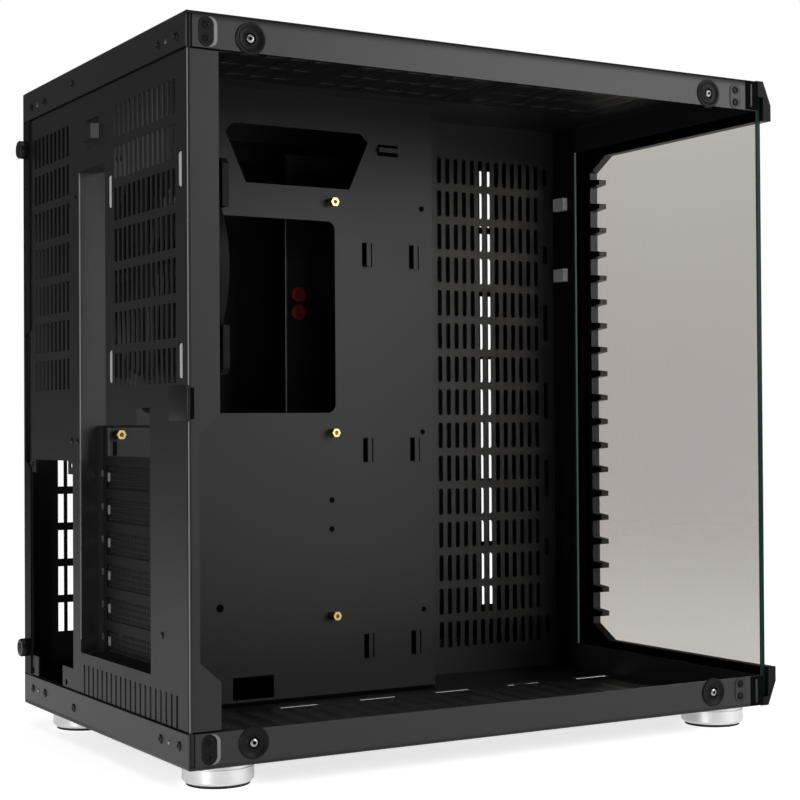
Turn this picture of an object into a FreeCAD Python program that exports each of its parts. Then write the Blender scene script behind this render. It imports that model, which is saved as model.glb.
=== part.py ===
"""Dual-chamber computer case with its window side open, modelled as sheet-metal pieces in millimetres.

The frame has +Z up, the front to -Y and the open side to -X, with the origin under the middle of the case on
the surface that the feet stand on. Every piece is placed by three distances: u from the open side towards the
far side, v from the rear plane towards the front, and w up from the underside of the floor sheet.
"""

import FreeCAD
import Part
import math
import os

from FreeCAD import Vector

# Chassis
width = 275.0
depth = 409.0
height = 413.0
sheet = 1.0
bend = 2.0
rail_height = 20.0
rail_corner_gap = 4.0
fit_gap = 0.3

# Feet
foot_height = 14.0
foot_diameter = 40.6
foot_inset_u = 30.0
foot_rear_v = 31.0
foot_front_inset = 17.0
pad_diameter = 36.0
pad_thickness = 1.5

# Vents punched in the rear, side and fan sheets
slot_width = 4.2
slot_height = 19.5
vent_row_pitch = 24.7
fan_columns = 13
fan_column_pitch = 7.3
rear_rows = 7
rear_row_rise = 160.5
rear_column_margin = 17.4
bay_columns = 9
bay_column_pitch = 7.8
bay_vent_inset = 54.0

# Rear fan and its mounting slots
fan_near_u = 3.1
fan_side_gap = 0.55
fan_hole_edge = 7.3
fan_depth = 25.0
fan_rise = 224.9
fan_corner = 3.5
fan_wall = 2.3
fan_ear = 27.0
fan_flange = 4.0
fan_slot_length = 20.0
fan_slot_width = 4.6
hub_diameter = 40.0
hub_wall = 2.0
hub_gap = 2.0
blade_count = 7
blade_tip_gap = 1.5
blade_thickness = 1.6
blade_angle = 36.0
blade_root_chord = 16.0
blade_tip_chord = 28.0
shaft_diameter = 3.0
shaft_play = 0.05
stator_diameter = 33.0

# Rear sheet
corner_flange = 20.0
corner_flange_slim = 7.5
slim_bottom = 47.0
slim_top = 193.0
slim_slope = 11.0
edge_slots = 20
edge_slot_width = 2.6
edge_slot_start_u = 17.5
edge_slot_inset = 15.5
edge_slot_gap = 7.0
lock_loop_inset = 32.0
lock_loop_rise_above_io = 20.95
lock_loop_width = 24.0
lock_loop_height = 18.0
lock_loop_strap = 9.0
lock_loop_rise = 4.0
power_supply_width = 86.0
power_supply_height = 150.0
power_supply_hole_edge = 6.0
power_supply_hole_offset = 16.0
power_supply_hole = 4.0
power_supply_base = 18.0
power_supply_lip = 3.0
power_supply_tab = 10.0
power_supply_top_tab = 8.5
power_supply_gap = 0.5

# Recessed plate with the I/O aperture and the expansion slots
pocket_depth = 12.0
io_width = 44.45
io_tall = 158.75
io_rise = 137.3
pocket_inset = 9.3
pocket_width = 113.7
pocket_below_cover = 7.7
pocket_corner = 6.0
pocket_step_width = 21.0
pocket_step_height = 10.0
plate_border = 6.0
ledge_inset = 130.0
card_pitch = 20.32
cover_count = 6
top_cover_drop = 32.0
slot_opening_inset = 23.0
slot_opening_length = 98.0
slot_opening_tall = 14.5
open_slot_extra = 3.0
cover_tall = 18.4
cover_thickness = 0.8
cover_inset = 18.0
cover_tab_gap = 1.0
cover_notch = 4.0
tray_lip = 10.0

# Motherboard tray and standoffs
tray_inset = 97.0
tray_front_inset = 143.0
board_standard = 304.8
board_clearance = 108.2
board_bottom = 50.0
standoff_height = 6.5
standoff_across = 5.5
standoff_thread = 2.8
standoff_thread_depth = 5.0
board_column_1 = 29.7
board_column_2_offset = 154.94
board_row_rise = 6.9
board_row_middle_offset = 124.46
board_row_top_offset = 281.94
cpu_window_rear_v = 45.0
cpu_window_front_inset = 78.5
cpu_window_rise = 145.0
cpu_window_tall = 131.0
cpu_window_corner = 6.0
cable_window_rear_v = 105.5
cable_window_front_inset = 52.0
cable_window_tall = 39.3
cable_window_drop = 25.0
cable_window_slope = 15.0
cable_window_corner = 6.0
low_window_rear_v = 109.3
low_window_front_v = 139.4
low_window_bottom = 5.0
low_window_top = 20.0
rear_slot_v = 26.0
rear_slot_width = 3.0
rear_slot_rise = 118.0
rear_slot_height = 9.0
tie_width = 8.0
tie_height = 16.5
tie_strap = 3.2
tie_rise = 2.5
tie_column_1_inset = 53.2
tie_column_2_inset = 15.4
tie_row_rise = -15.8
tie_row_pitch = 135.1
top_tie_inset = 36.2
top_tie_drop = 35.2

# Fan sheet behind the tray's front edge
fan_sheet_inset = 46.6
fan_sheet_rows = 7
fan_sheet_row_start = 33.0
fan_sheet_column_inset = 62.0
side_fan_hole_spacing = 105.0
fan_row_shift = 4.0
fan_row_margin = 53.0
short_slot = 14.5
long_slot = 29.0

# Far side sheet
side_flange = 12.5
side_flange_gap = 1.0
notch_bottom = 159.0
notch_top = 252.0
notch_slope = 5.0
notch_depth = 10.0
supply_vent_columns = 5
supply_vent_rows = 5
supply_vent_v = 25.5
supply_vent_w = 47.0
supply_vent_pitch = 6.6
front_vent_columns = 2
front_vent_rows = 7
front_vent_inset = 38.0
front_vent_w = 45.2
thumb_head = 12.0
thumb_length = 5.6
thumb_inset = 6.3
thumb_low_w = 38.5
thumb_high_drop = 39.4

# Floor and roof vents
pan_slot_length = 104.0
pan_slot_pitch_v = 120.0
pan_slot_columns = 3
pan_slot_rows = 4
pan_slot_pitch_u = 28.0
pan_slot_width = 5.0
pan_vent_centre_u = 95.0
floor_slit_count = 5
floor_slit_inset = 18.0
floor_slit_rear_v = 134.0
floor_slit_front_inset = 35.0
floor_slit_length = 30.0
floor_slit_width = 7.0

# Front bezel, glass and column
bezel_depth = 12.5
bezel_chamfer_depth = 6.5
bezel_chamfer_height = 15.5
bezel_side_chamfer = 9.0
glass_thickness = 4.0
glass_gap = 2.0
glass_near_u = 3.0
glass_far_inset = 69.0
glass_bottom = 6.0
glass_top_drop = 11.0
opening_inset = 87.0
opening_bottom = 25.0
opening_drop = 26.0
opening_slope_u = 19.0
opening_slope_w = 11.0
fin_count = 19
fin_margin = 20.0
fin_length = 11.0
fin_root = 6.0
fin_tip = 3.6
bezel_back_wall = 3.0
column_inset = 72.0
clip_inset = 65.0
clip_width = 12.7
clip_height = 9.5
clip_length = 6.0
clip_low_drop = 112.6
clip_high_drop = 58.3

# Drive bracket in the far chamber
bracket_inset = 39.0
bracket_reach = 86.5
bracket_bottom = 60.0
bracket_drop = 33.0
bracket_flange = 37.0

# Switches and sockets in the roof
io_inset = 35.0
io_housing_width = 24.0
io_rear_inset = 124.0
io_housing_length = 110.0
io_housing_depth = 14.0
io_lip = 3.0
power_length = 16.0
reset_length = 8.0
button_width = 12.0
button_length = 9.0
button_travel = 1.5
power_inset = 31.0
reset_inset = 51.0
usb_inset = 71.0
usb_pitch = 20.0
usb_long = 14.5
usb_short = 7.2
usb_wall = 1.0
usb_depth = 12.0
jack_inset = 110.0
jack_diameter = 3.6

# Places that several pieces share
rear_y = (depth + bezel_depth - thumb_length) / 2
rear_face = sheet
rear_inner = 2 * sheet
far_flange_u = width - sheet
tray_u = width - tray_inset
tray_front_v = depth - tray_front_inset
board_scale = (height - board_clearance) / board_standard
row_pitch = vent_row_pitch * board_scale
pocket_floor = rear_inner + pocket_depth - sheet
pocket_far_u = tray_u - pocket_inset
pocket_near_u = pocket_far_u - pocket_width
near_io_u = pocket_far_u - io_width
io_base = board_bottom + io_rise * board_scale
io_top = io_base + io_tall * board_scale
ledge_u = tray_u - ledge_inset
slot_pitch = card_pitch * board_scale
slot_opening_far_u = tray_u - slot_opening_inset
slot_opening_near_u = slot_opening_far_u - slot_opening_length
slot_opening_height = slot_opening_tall * board_scale
top_cover_w = io_base - top_cover_drop * board_scale
cover_width = cover_tall * board_scale
cover_far_u = tray_u - cover_inset
lock_loop_u = tray_u - lock_loop_inset
lock_loop_w = io_top + lock_loop_rise_above_io * board_scale
fan_size = near_io_u - sheet - fan_side_gap - fan_near_u
fan_centre_u = fan_near_u + fan_size / 2
fan_centre_w = board_bottom + fan_rise * board_scale
fan_hole_spacing = fan_size - 2 * fan_hole_edge
fan_bore = fan_size - 2 * fan_wall
cpu_window_bottom = board_bottom + cpu_window_rise * board_scale
cpu_window_top = cpu_window_bottom + cpu_window_tall * board_scale
cable_window_top = height - cable_window_drop
rear_slot_bottom = board_bottom + rear_slot_rise * board_scale
tie_rows = [board_bottom + (tie_row_rise + tie_row_pitch * i) * board_scale for i in range(3)]
fan_sheet_u = width - fan_sheet_inset
fan_sheet_column_centre_v = depth - fan_sheet_column_inset
fan_row_centre_w = (height - fan_row_shift) / 2
fan_row_pitch = (height - fan_row_margin) / 3
fan_sheet_front_v = depth - 2 * sheet
thumb_u = width - thumb_inset
glass_far_u = width - glass_far_inset
glass_top = height - glass_top_drop
opening_far_u = width - opening_inset
opening_top = height - opening_drop
fin_pitch = (opening_top - opening_bottom - fin_margin) / fin_count
clip_near_u = width - clip_inset
clip_rows = (height - clip_low_drop, height - clip_high_drop)
bracket_u = width - bracket_inset
io_near_u = width - io_inset
io_rear_v = depth - io_rear_inset
power_v = depth - power_inset
reset_v = depth - reset_inset
glass_back = depth + glass_gap
glass_front = glass_back + glass_thickness
bezel_front = depth + bezel_depth
double_slot = slot_height + row_pitch
cover_rows = [top_cover_w - slot_pitch * i for i in range(cover_count)]
pocket_base = cover_rows[-1] - pocket_below_cover * board_scale
board_column_2 = board_column_1 + board_column_2_offset
board_rows = [
    board_bottom + (board_row_rise + offset) * board_scale
    for offset in (0, board_row_middle_offset, board_row_top_offset)
]
supply_near_u = tray_u + sheet + power_supply_gap
supply_far_u = supply_near_u + power_supply_width
supply_top = power_supply_base + power_supply_height
foot_spots = [(u, v) for u in (foot_inset_u, width - foot_inset_u) for v in (foot_rear_v, depth - foot_front_inset)]


def place(u, v, w):
    """Point in the part's frame from its three distances."""
    return Vector(u - width / 2, rear_y - v, foot_height + w)


def block(u0, u1, v0, v1, w0, w1):
    """Box between two values of each distance."""
    return Part.makeBox(u1 - u0, v1 - v0, w1 - w0, place(u0, v1, w0))


def upright_across(a, b, level):
    """Plane parallel to the rear: a is u, b is w, level is v."""
    return place(a, level, b)


def upright_along(a, b, level):
    """Plane parallel to the open side: a is v, b is w, level is u."""
    return place(level, a, b)


def flat(a, b, level):
    """Plane parallel to the floor: a is u, b is v, level is w."""
    return place(a, b, level)


def polygon(points):
    """Closed outline through points of a plane."""
    return lambda plane, level: Part.makePolygon([plane(a, b, level) for a, b in points + points[:1]])


def rectangle(a0, a1, b0, b1):
    return polygon([(a0, b0), (a1, b0), (a1, b1), (a0, b1)])


def upright_slot(a, b, length):
    """Fan mounting slot about one point, its long side along b."""
    return rectangle(a - fan_slot_width / 2, a + fan_slot_width / 2, b - length / 2, b + length / 2)


def circle(a, b, diameter):
    def outline(plane, level):
        normal = plane(0, 0, 1) - plane(0, 0, 0)
        return Part.Wire(Part.Circle(plane(a, b, level), normal, diameter / 2).toShape())

    return outline


def rounded(a0, a1, b0, b1, radius):
    """Rectangle with round corners."""

    def outline(plane, level):
        corner = radius * (1 - math.sqrt(0.5))
        ring = [
            (a0 + radius, b0, a1 - radius, b0, a1 - corner, b0 + corner, a1, b0 + radius),
            (a1, b0 + radius, a1, b1 - radius, a1 - corner, b1 - corner, a1 - radius, b1),
            (a1 - radius, b1, a0 + radius, b1, a0 + corner, b1 - corner, a0, b1 - radius),
            (a0, b1 - radius, a0, b0 + radius, a0 + corner, b0 + corner, a0 + radius, b0),
        ]
        edges = []
        for a, b, c, d, e, f, g, h in ring:
            edges.append(Part.LineSegment(plane(a, b, level), plane(c, d, level)).toShape())
            edges.append(Part.Arc(plane(c, d, level), plane(e, f, level), plane(g, h, level)).toShape())
        return Part.Wire(edges)

    return outline


def plate(plane, level, thickness, outline, holes=()):
    """Flat sheet of one outline with its holes, from level to level plus thickness."""
    wires = [outline(plane, level)] + [hole(plane, level) for hole in holes]
    face = Part.makeFace(wires, "Part::FaceMakerBullseye")
    return face.extrude(plane(0, 0, level + thickness) - plane(0, 0, level))


def slots(columns, column_pitch, centre_a, rows, pitch, first_b, across=slot_width, tall=slot_height):
    """Grid of straight slots, with their columns centred on one value."""
    start = centre_a - column_pitch * (columns - 1) / 2
    holes = []
    for i in range(columns):
        for j in range(rows):
            a = start + column_pitch * i
            b = first_b + pitch * j
            holes.append(rectangle(a - across / 2, a + across / 2, b, b + tall))
    return holes


def rod(u, v, w, direction, diameter, length):
    """Cylinder from a point along a direction of the part's frame."""
    return Part.makeCylinder(diameter / 2, length, place(u, v, w), direction)


def sawn(shape, boxes):
    """Lengths of a folded or pierced sheet, each near enough a flat box to leave the openings beside it clear."""
    return [solid for box in boxes for solid in shape.common(box).Solids]


def fused(shapes):
    return shapes[0].multiFuse(shapes[1:]).removeSplitter()


towards_far = Vector(1, 0, 0)
towards_rear = Vector(0, 1, 0)
upwards = Vector(0, 0, 1)


def pan(low, floor_at_top):
    """Floor or roof sheet with a rail folded from each side, and its vents."""
    high = low + rail_height
    outer = block(0, far_flange_u, 0, depth, low, high)
    inner_low = low - sheet if floor_at_top else low + sheet
    inner = block(sheet, far_flange_u - sheet, sheet, depth - sheet, inner_low, inner_low + rail_height)
    level = foot_height + (high if floor_at_top else low)
    inner_level = foot_height + (high - sheet if floor_at_top else low + sheet)
    outer = outer.makeFillet(bend, edges_at_height(outer, level))
    inner = inner.makeFillet(bend - sheet, edges_at_height(inner, inner_level))
    shell = outer.cut(inner)
    sheet_low = high - sheet if floor_at_top else low
    relief_low = low if floor_at_top else low + bend
    relief_high = high - bend if floor_at_top else high
    tools = [block(-sheet, sheet, sheet, rail_corner_gap, relief_low, relief_high)]
    first_v = (depth - pan_slot_pitch_v * (pan_slot_columns - 1) - pan_slot_length) / 2
    for hole in slots(
        pan_slot_rows,
        pan_slot_pitch_u,
        pan_vent_centre_u,
        pan_slot_columns,
        pan_slot_pitch_v,
        first_v,
        pan_slot_width,
        pan_slot_length,
    ):
        tools.append(plate(flat, sheet_low - sheet, 3 * sheet, hole))
    return shell, tools


def edges_at_height(shape, level):
    """Straight edges that lie at one height of the part's frame."""
    return [edge for edge in shape.Edges if all(abs(p.Point.z - level) < 1e-6 for p in edge.Vertexes)]


def pan_lengths(low, openings):
    """Boxes that part a pan into its four rails and the sheet between them, the sheet around its openings."""
    high = low + rail_height
    far_u = far_flange_u - bend
    front_v = depth - bend
    boxes = [block(0, bend, 0, depth, low, high), block(far_u, far_flange_u, 0, depth, low, high)]
    boxes += [block(bend, far_u, 0, bend, low, high), block(bend, far_u, front_v, depth, low, high)]
    edge_u = bend
    for u0, u1, v0, v1 in openings:
        boxes.append(block(edge_u, u0, bend, front_v, low, high))
        boxes.append(block(u0, u1, bend, v0, low, high))
        boxes.append(block(u0, u1, v1, front_v, low, high))
        edge_u = u1
    boxes.append(block(edge_u, far_u, bend, front_v, low, high))
    return boxes


def base_pan():
    """Floor with its vents and a row of slits along the foot of the tray."""
    shell, tools = pan(0, False)
    slit_u = tray_u - floor_slit_inset
    slit_pitch = (depth - floor_slit_front_inset - floor_slit_rear_v) / (floor_slit_count - 1)
    half_u = floor_slit_width / 2
    for i in range(floor_slit_count):
        v = floor_slit_rear_v + slit_pitch * i
        slit = rectangle(slit_u - half_u, slit_u + half_u, v, v + floor_slit_length)
        tools.append(plate(flat, -sheet, 3 * sheet, slit))
    return Part.makeCompound(sawn(shell.cut(Part.makeCompound(tools)), pan_lengths(0, [])))


def top_pan():
    shell, tools = pan(height - rail_height, True)
    far_u = io_near_u + io_housing_width
    front_v = io_rear_v + io_housing_length
    opening = (io_near_u - fit_gap, far_u + fit_gap, io_rear_v - fit_gap, front_v + fit_gap)
    tools.append(plate(flat, height - 2 * sheet, 3 * sheet, rectangle(*opening)))
    return Part.makeCompound(sawn(shell.cut(Part.makeCompound(tools)), pan_lengths(height - rail_height, [opening])))


def supply_holes():
    """Centres of the power supply's four screws, one of them set further in."""
    near = supply_near_u + power_supply_hole_edge
    far = supply_far_u - power_supply_hole_edge
    low = power_supply_base + power_supply_hole_edge
    high = supply_top - power_supply_hole_edge
    return [(far, low), (supply_near_u + power_supply_hole_offset, low), (far, high), (near, high)]


def supply_opening():
    """Opening for the power supply, with a tab left for each of its screws."""
    lip = power_supply_lip
    top_tab = power_supply_top_tab
    tab = power_supply_tab + power_supply_hole_edge - lip
    deep = power_supply_hole_offset + power_supply_tab - power_supply_hole_edge
    u0 = supply_near_u + lip
    u1 = supply_far_u - lip
    w0 = power_supply_base + lip
    w1 = supply_top - lip
    return polygon(
        [
            (u0 + deep, w0),
            (u1 - tab, w0),
            (u1 - tab, w0 + tab),
            (u1, w0 + tab),
            (u1, w1 - top_tab),
            (u1 - top_tab, w1 - top_tab),
            (u1 - top_tab, w1),
            (u0 + top_tab, w1),
            (u0 + top_tab, w1 - top_tab),
            (u0, w1 - top_tab),
            (u0, w0 + tab),
            (u0 + deep, w0 + tab),
        ]
    )


def pocket_opening(plane, level):
    """Opening over the I/O aperture and the slot pocket, with one round corner and a step beside the slots."""
    corner = pocket_corner * (1 - math.sqrt(0.5))
    points = [
        (pocket_far_u, pocket_base + pocket_corner),
        (pocket_far_u, io_top),
        (near_io_u, io_top),
        (near_io_u, io_base),
        (pocket_near_u + pocket_step_width, io_base),
        (pocket_near_u + pocket_step_width, io_base + pocket_step_height),
        (pocket_near_u, io_base + pocket_step_height),
        (pocket_near_u, pocket_base),
        (pocket_far_u - pocket_corner, pocket_base),
    ]
    spots = [plane(a, b, level) for a, b in points]
    edges = [Part.LineSegment(first, second).toShape() for first, second in zip(spots, spots[1:])]
    middle = plane(pocket_far_u - corner, pocket_base + corner, level)
    edges.append(Part.Arc(spots[-1], middle, spots[0]).toShape())
    return Part.Wire(edges)


def rear_panel():
    """Rear sheet: vents, fan slots, I/O and slot opening, power supply opening and the folded near corner."""
    fan_columns_u = [fan_centre_u - fan_hole_spacing / 2, fan_centre_u + fan_hole_spacing / 2]
    fan_rows_w = [fan_centre_w - fan_hole_spacing / 2, fan_centre_w + fan_hole_spacing / 2]
    edge_slot_pitch = (tray_u - edge_slot_inset - edge_slot_start_u) / (edge_slots - 1)
    edge_slot_centre = edge_slot_start_u + edge_slot_pitch * (edge_slots - 1) / 2
    rear_column_pitch = (fan_hole_spacing - rear_column_margin) / (fan_columns - 1)
    rear_row_start = board_bottom + rear_row_rise * board_scale
    bay_vent_centre = width - bay_vent_inset
    edge_slot_low = rail_height + sheet
    holes = slots(fan_columns, rear_column_pitch, fan_centre_u, rear_rows, row_pitch, rear_row_start)
    holes += slots(bay_columns, bay_column_pitch, bay_vent_centre, rear_rows, row_pitch, rear_row_start)
    holes += slots(
        edge_slots,
        edge_slot_pitch,
        edge_slot_centre,
        1,
        row_pitch,
        edge_slot_low,
        edge_slot_width,
        pocket_base - edge_slot_gap - edge_slot_low,
    )
    holes += [upright_slot(u, w, fan_slot_length) for u in fan_columns_u for w in fan_rows_w]
    holes += [circle(u, w, power_supply_hole) for u, w in supply_holes()]
    holes += [supply_opening(), pocket_opening, lock_loop_hole()]
    far_u = far_flange_u - sheet
    notch_far_u = width - side_flange + sheet
    outline = polygon(
        [
            (sheet + bend, bend),
            (far_u, bend),
            (far_u, notch_bottom),
            (notch_far_u, notch_bottom + notch_slope),
            (notch_far_u, notch_top - notch_slope),
            (far_u, notch_top),
            (far_u, height - bend),
            (sheet + bend, height - bend),
        ]
    )
    main_sheet = plate(upright_across, rear_face, sheet, outline, holes)
    corner = fused([corner_bend(), corner_strip()])
    return Part.makeCompound(sawn(main_sheet, rear_lengths()) + [corner] + lock_loop())


def rear_lengths():
    """Boxes that part the rear sheet around its openings."""
    lock_near_u = lock_loop_u - lock_loop_width / 2
    lock_far_u = lock_loop_u + lock_loop_width / 2
    lock_low = lock_loop_w - lock_loop_height / 2
    lock_high = lock_loop_w + lock_loop_height / 2
    notch_far_u = width - side_flange + sheet
    supply_low = power_supply_base + power_supply_lip
    supply_high = supply_top - power_supply_lip
    tab_low = supply_low + power_supply_tab + power_supply_hole_edge - power_supply_lip
    tab_high = supply_high - power_supply_top_tab
    spans = [
        (0, tray_u, 0, pocket_base),
        (0, pocket_near_u, pocket_base, io_base),
        (0, near_io_u, io_base, io_top),
        (pocket_far_u, tray_u, pocket_base, io_top),
        (0, lock_near_u, io_top, height),
        (lock_near_u, lock_far_u, io_top, lock_low),
        (lock_near_u, lock_far_u, lock_high, height),
        (lock_far_u, tray_u, io_top, height),
        (tray_u, width, 0, supply_low),
        (tray_u, width, supply_low, tab_low),
        (tray_u, width, tab_low, tab_high),
        (tray_u, width, tab_high, supply_high),
        (tray_u, notch_far_u, supply_high, height),
        (notch_far_u, width, supply_high, height),
    ]
    return [block(u0, u1, rear_face, rear_inner, w0, w1) for u0, u1, w0, w1 in spans]


def corner_bend():
    """Rounded fold between the rear sheet and the strip along the open side."""
    centre_u = sheet + bend
    centre_v = rear_face + bend
    half = math.sqrt(0.5)
    spots = []
    for r in (bend, bend - sheet):
        spots.append(flat(centre_u - r, centre_v, bend))
        spots.append(flat(centre_u - r * half, centre_v - r * half, bend))
        spots.append(flat(centre_u, centre_v - r, bend))
    section = Part.Wire(
        [
            Part.Arc(*spots[:3]).toShape(),
            Part.LineSegment(spots[2], spots[5]).toShape(),
            Part.Arc(spots[5], spots[4], spots[3]).toShape(),
            Part.LineSegment(spots[3], spots[0]).toShape(),
        ]
    )
    return Part.Face(section).extrude(upwards * (height - 2 * bend))


def corner_strip():
    """Strip folded along the open side, slimmer beside the slots so that a driver reaches their screws."""
    outline = polygon(
        [
            (rear_face + bend, bend),
            (corner_flange, bend),
            (corner_flange, slim_bottom),
            (corner_flange_slim, slim_bottom + slim_slope),
            (corner_flange_slim, slim_top - slim_slope),
            (corner_flange, slim_top),
            (corner_flange, height - bend),
            (rear_face + bend, height - bend),
        ]
    )
    return plate(upright_along, sheet, sheet, outline)


def lock_loop_hole():
    half_u = lock_loop_width / 2
    half_w = lock_loop_height / 2
    return rectangle(lock_loop_u - half_u, lock_loop_u + half_u, lock_loop_w - half_w, lock_loop_w + half_w)


def lock_loop():
    """Strap lanced out of the rear sheet for a padlock: two slanting legs and the bar between them."""
    half_u = lock_loop_width / 2
    low = lock_loop_w - lock_loop_strap / 2
    out = rear_face - lock_loop_rise
    bar_u = half_u - lock_loop_rise
    bar = block(lock_loop_u - bar_u, lock_loop_u + bar_u, out, out + sheet, low, low + lock_loop_strap)
    pieces = [bar]
    for side in (-1, 1):
        foot_u = lock_loop_u + side * half_u
        top_u = lock_loop_u + side * bar_u
        leg = polygon([(foot_u, rear_inner), (foot_u, rear_face), (top_u, out), (top_u, out + sheet)])
        pieces.append(plate(flat, low, lock_loop_strap, leg))
    return pieces


def slot_plate():
    """Recessed plate with the slot openings and the I/O aperture, walled back to the rear sheet."""
    floor_back = pocket_floor + sheet
    plate_base = pocket_base - plate_border
    openings = []
    for w in cover_rows:
        half = slot_opening_height / 2
        openings.append(rectangle(slot_opening_near_u, slot_opening_far_u, w - half, w + half))
        openings.append(rectangle(cover_far_u, cover_far_u + cover_notch, w, w + cover_notch))
    open_w = top_cover_w + slot_pitch
    open_half = slot_opening_height / 2
    openings.append(
        rectangle(slot_opening_near_u, slot_opening_far_u, open_w - open_half, open_w + open_half + open_slot_extra)
    )
    floor = plate(
        upright_across,
        pocket_floor,
        sheet,
        polygon(
            [
                (ledge_u, plate_base),
                (tray_u, plate_base),
                (tray_u, io_top + plate_border),
                (near_io_u - sheet, io_top + plate_border),
                (near_io_u - sheet, io_top),
                (pocket_far_u, io_top),
                (pocket_far_u, io_base),
                (ledge_u, io_base),
            ]
        ),
        openings,
    )
    walls = [
        block(pocket_far_u, pocket_far_u + sheet, rear_inner, pocket_floor, pocket_base, io_top + sheet),
        block(near_io_u - sheet, near_io_u, rear_inner, floor_back, io_base, io_top + sheet),
        block(near_io_u, pocket_far_u, rear_inner, pocket_floor, io_top, io_top + sheet),
        block(ledge_u, pocket_far_u + sheet, rear_inner, pocket_floor, pocket_base - sheet, pocket_base),
        block(tray_u - sheet, tray_u, floor_back, floor_back + tray_lip, plate_base, io_top + plate_border),
    ]
    walls.append(block(ledge_u, ledge_u + sheet, rear_inner, pocket_floor, plate_base, io_base))
    slot_low = open_w - open_half
    slot_high = open_w + open_half + open_slot_extra
    spans = [
        (ledge_u, tray_u, plate_base, slot_low),
        (ledge_u, slot_opening_near_u, slot_low, io_base),
        (slot_opening_near_u, slot_opening_far_u, slot_high, io_base),
        (slot_opening_far_u, tray_u, slot_low, io_base),
        (pocket_far_u, tray_u, io_base, io_top),
        (near_io_u - sheet, tray_u, io_top, io_top + plate_border),
    ]
    pieces = sawn(floor, [block(u0, u1, pocket_floor, floor_back, w0, w1) for u0, u1, w0, w1 in spans])
    for wall in walls:
        pieces += wall.cut(Part.makeCompound(pieces)).Solids
    return Part.makeCompound(pieces)


def slot_cover(w):
    """Blanking cover of one slot: a strip inside the plate and a tab bent over the ledge for its screw."""
    inner = pocket_floor + sheet
    low = w - cover_width / 2
    high = w + cover_width / 2
    strip = block(ledge_u - cover_thickness, cover_far_u, inner, inner + cover_thickness, low, high)
    tab = block(ledge_u - cover_thickness, ledge_u, rear_inner + cover_tab_gap, inner, low, high)
    return fused([strip, tab])


def tie_loop(v, w, upright):
    """Strap lanced out of the tray for a cable tie: the hole and the bridge over it."""
    half_long = tie_height / 2
    half_short = tie_width / 2
    half_strap = tie_strap / 2
    out = tray_u - tie_rise
    if upright:
        hole = rectangle(v - half_short, v + half_short, w - half_long, w + half_long)
        legs = [(v - half_strap, v + half_strap, w - half_long, w - half_long + sheet)]
        legs.append((v - half_strap, v + half_strap, w + half_long - sheet, w + half_long))
        top = (v - half_strap, v + half_strap, w - half_long, w + half_long)
    else:
        hole = rectangle(v - half_long, v + half_long, w - half_short, w + half_short)
        legs = [(v - half_long, v - half_long + sheet, w - half_strap, w + half_strap)]
        legs.append((v + half_long - sheet, v + half_long, w - half_strap, w + half_strap))
        top = (v - half_long, v + half_long, w - half_strap, w + half_strap)
    bridge = [block(out, tray_u + sheet, *leg) for leg in legs]
    bridge.append(block(out, out + sheet, *top))
    return hole, bridge


def motherboard_tray():
    """Upright sheet between the chambers, with its windows and tie loops."""
    cable_window_front_v = tray_front_v - cable_window_front_inset
    cable_window_bottom = cable_window_top - cable_window_tall
    holes = [
        rounded(cpu_window_rear_v, tray_front_v - cpu_window_front_inset, cpu_window_bottom, cpu_window_top, cpu_window_corner),
        rectangle(low_window_rear_v, low_window_front_v, low_window_bottom, low_window_top),
        rectangle(rear_slot_v, rear_slot_v + rear_slot_width, rear_slot_bottom, rear_slot_bottom + rear_slot_height),
        polygon(
            [
                (cable_window_rear_v + cable_window_slope, cable_window_bottom),
                (cable_window_front_v - cable_window_slope, cable_window_bottom),
                (cable_window_front_v, cable_window_top - cable_window_corner),
                (cable_window_front_v - cable_window_corner, cable_window_top),
                (cable_window_rear_v + cable_window_corner, cable_window_top),
                (cable_window_rear_v, cable_window_top - cable_window_corner),
            ]
        ),
    ]
    bridges = []
    tie_columns = (tray_front_v - tie_column_1_inset, tray_front_v - tie_column_2_inset)
    spots = [(v, w, True) for v in tie_columns for w in tie_rows]
    spots.append((tray_front_v - top_tie_inset, height - top_tie_drop, False))
    for v, w, upright in spots:
        hole, bridge = tie_loop(v, w, upright)
        holes.append(hole)
        bridges += bridge
    outline = rectangle(rear_inner, tray_front_v, sheet, height - sheet)
    main_sheet = plate(upright_along, tray_u, sheet, outline, holes)
    front = block(tray_u, fan_sheet_u, tray_front_v - sheet, tray_front_v, sheet, height - sheet)
    return fused([main_sheet, front] + bridges)


def standoffs():
    """Hexagonal brass pillars with a blind thread."""
    shapes = []
    radius = standoff_across / math.sqrt(3)
    for v in (board_column_1, board_column_2):
        for w in board_rows:
            points = []
            for i in range(6):
                angle = math.radians(60 * i)
                points.append((v + radius * math.cos(angle), w + radius * math.sin(angle)))
            tip = tray_u - standoff_height
            body = plate(upright_along, tip, standoff_height, polygon(points))
            thread = rod(tip, v, w, towards_far, standoff_thread, standoff_thread_depth)
            shapes.append(body.cut(thread))
    return Part.makeCompound(shapes)


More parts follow.
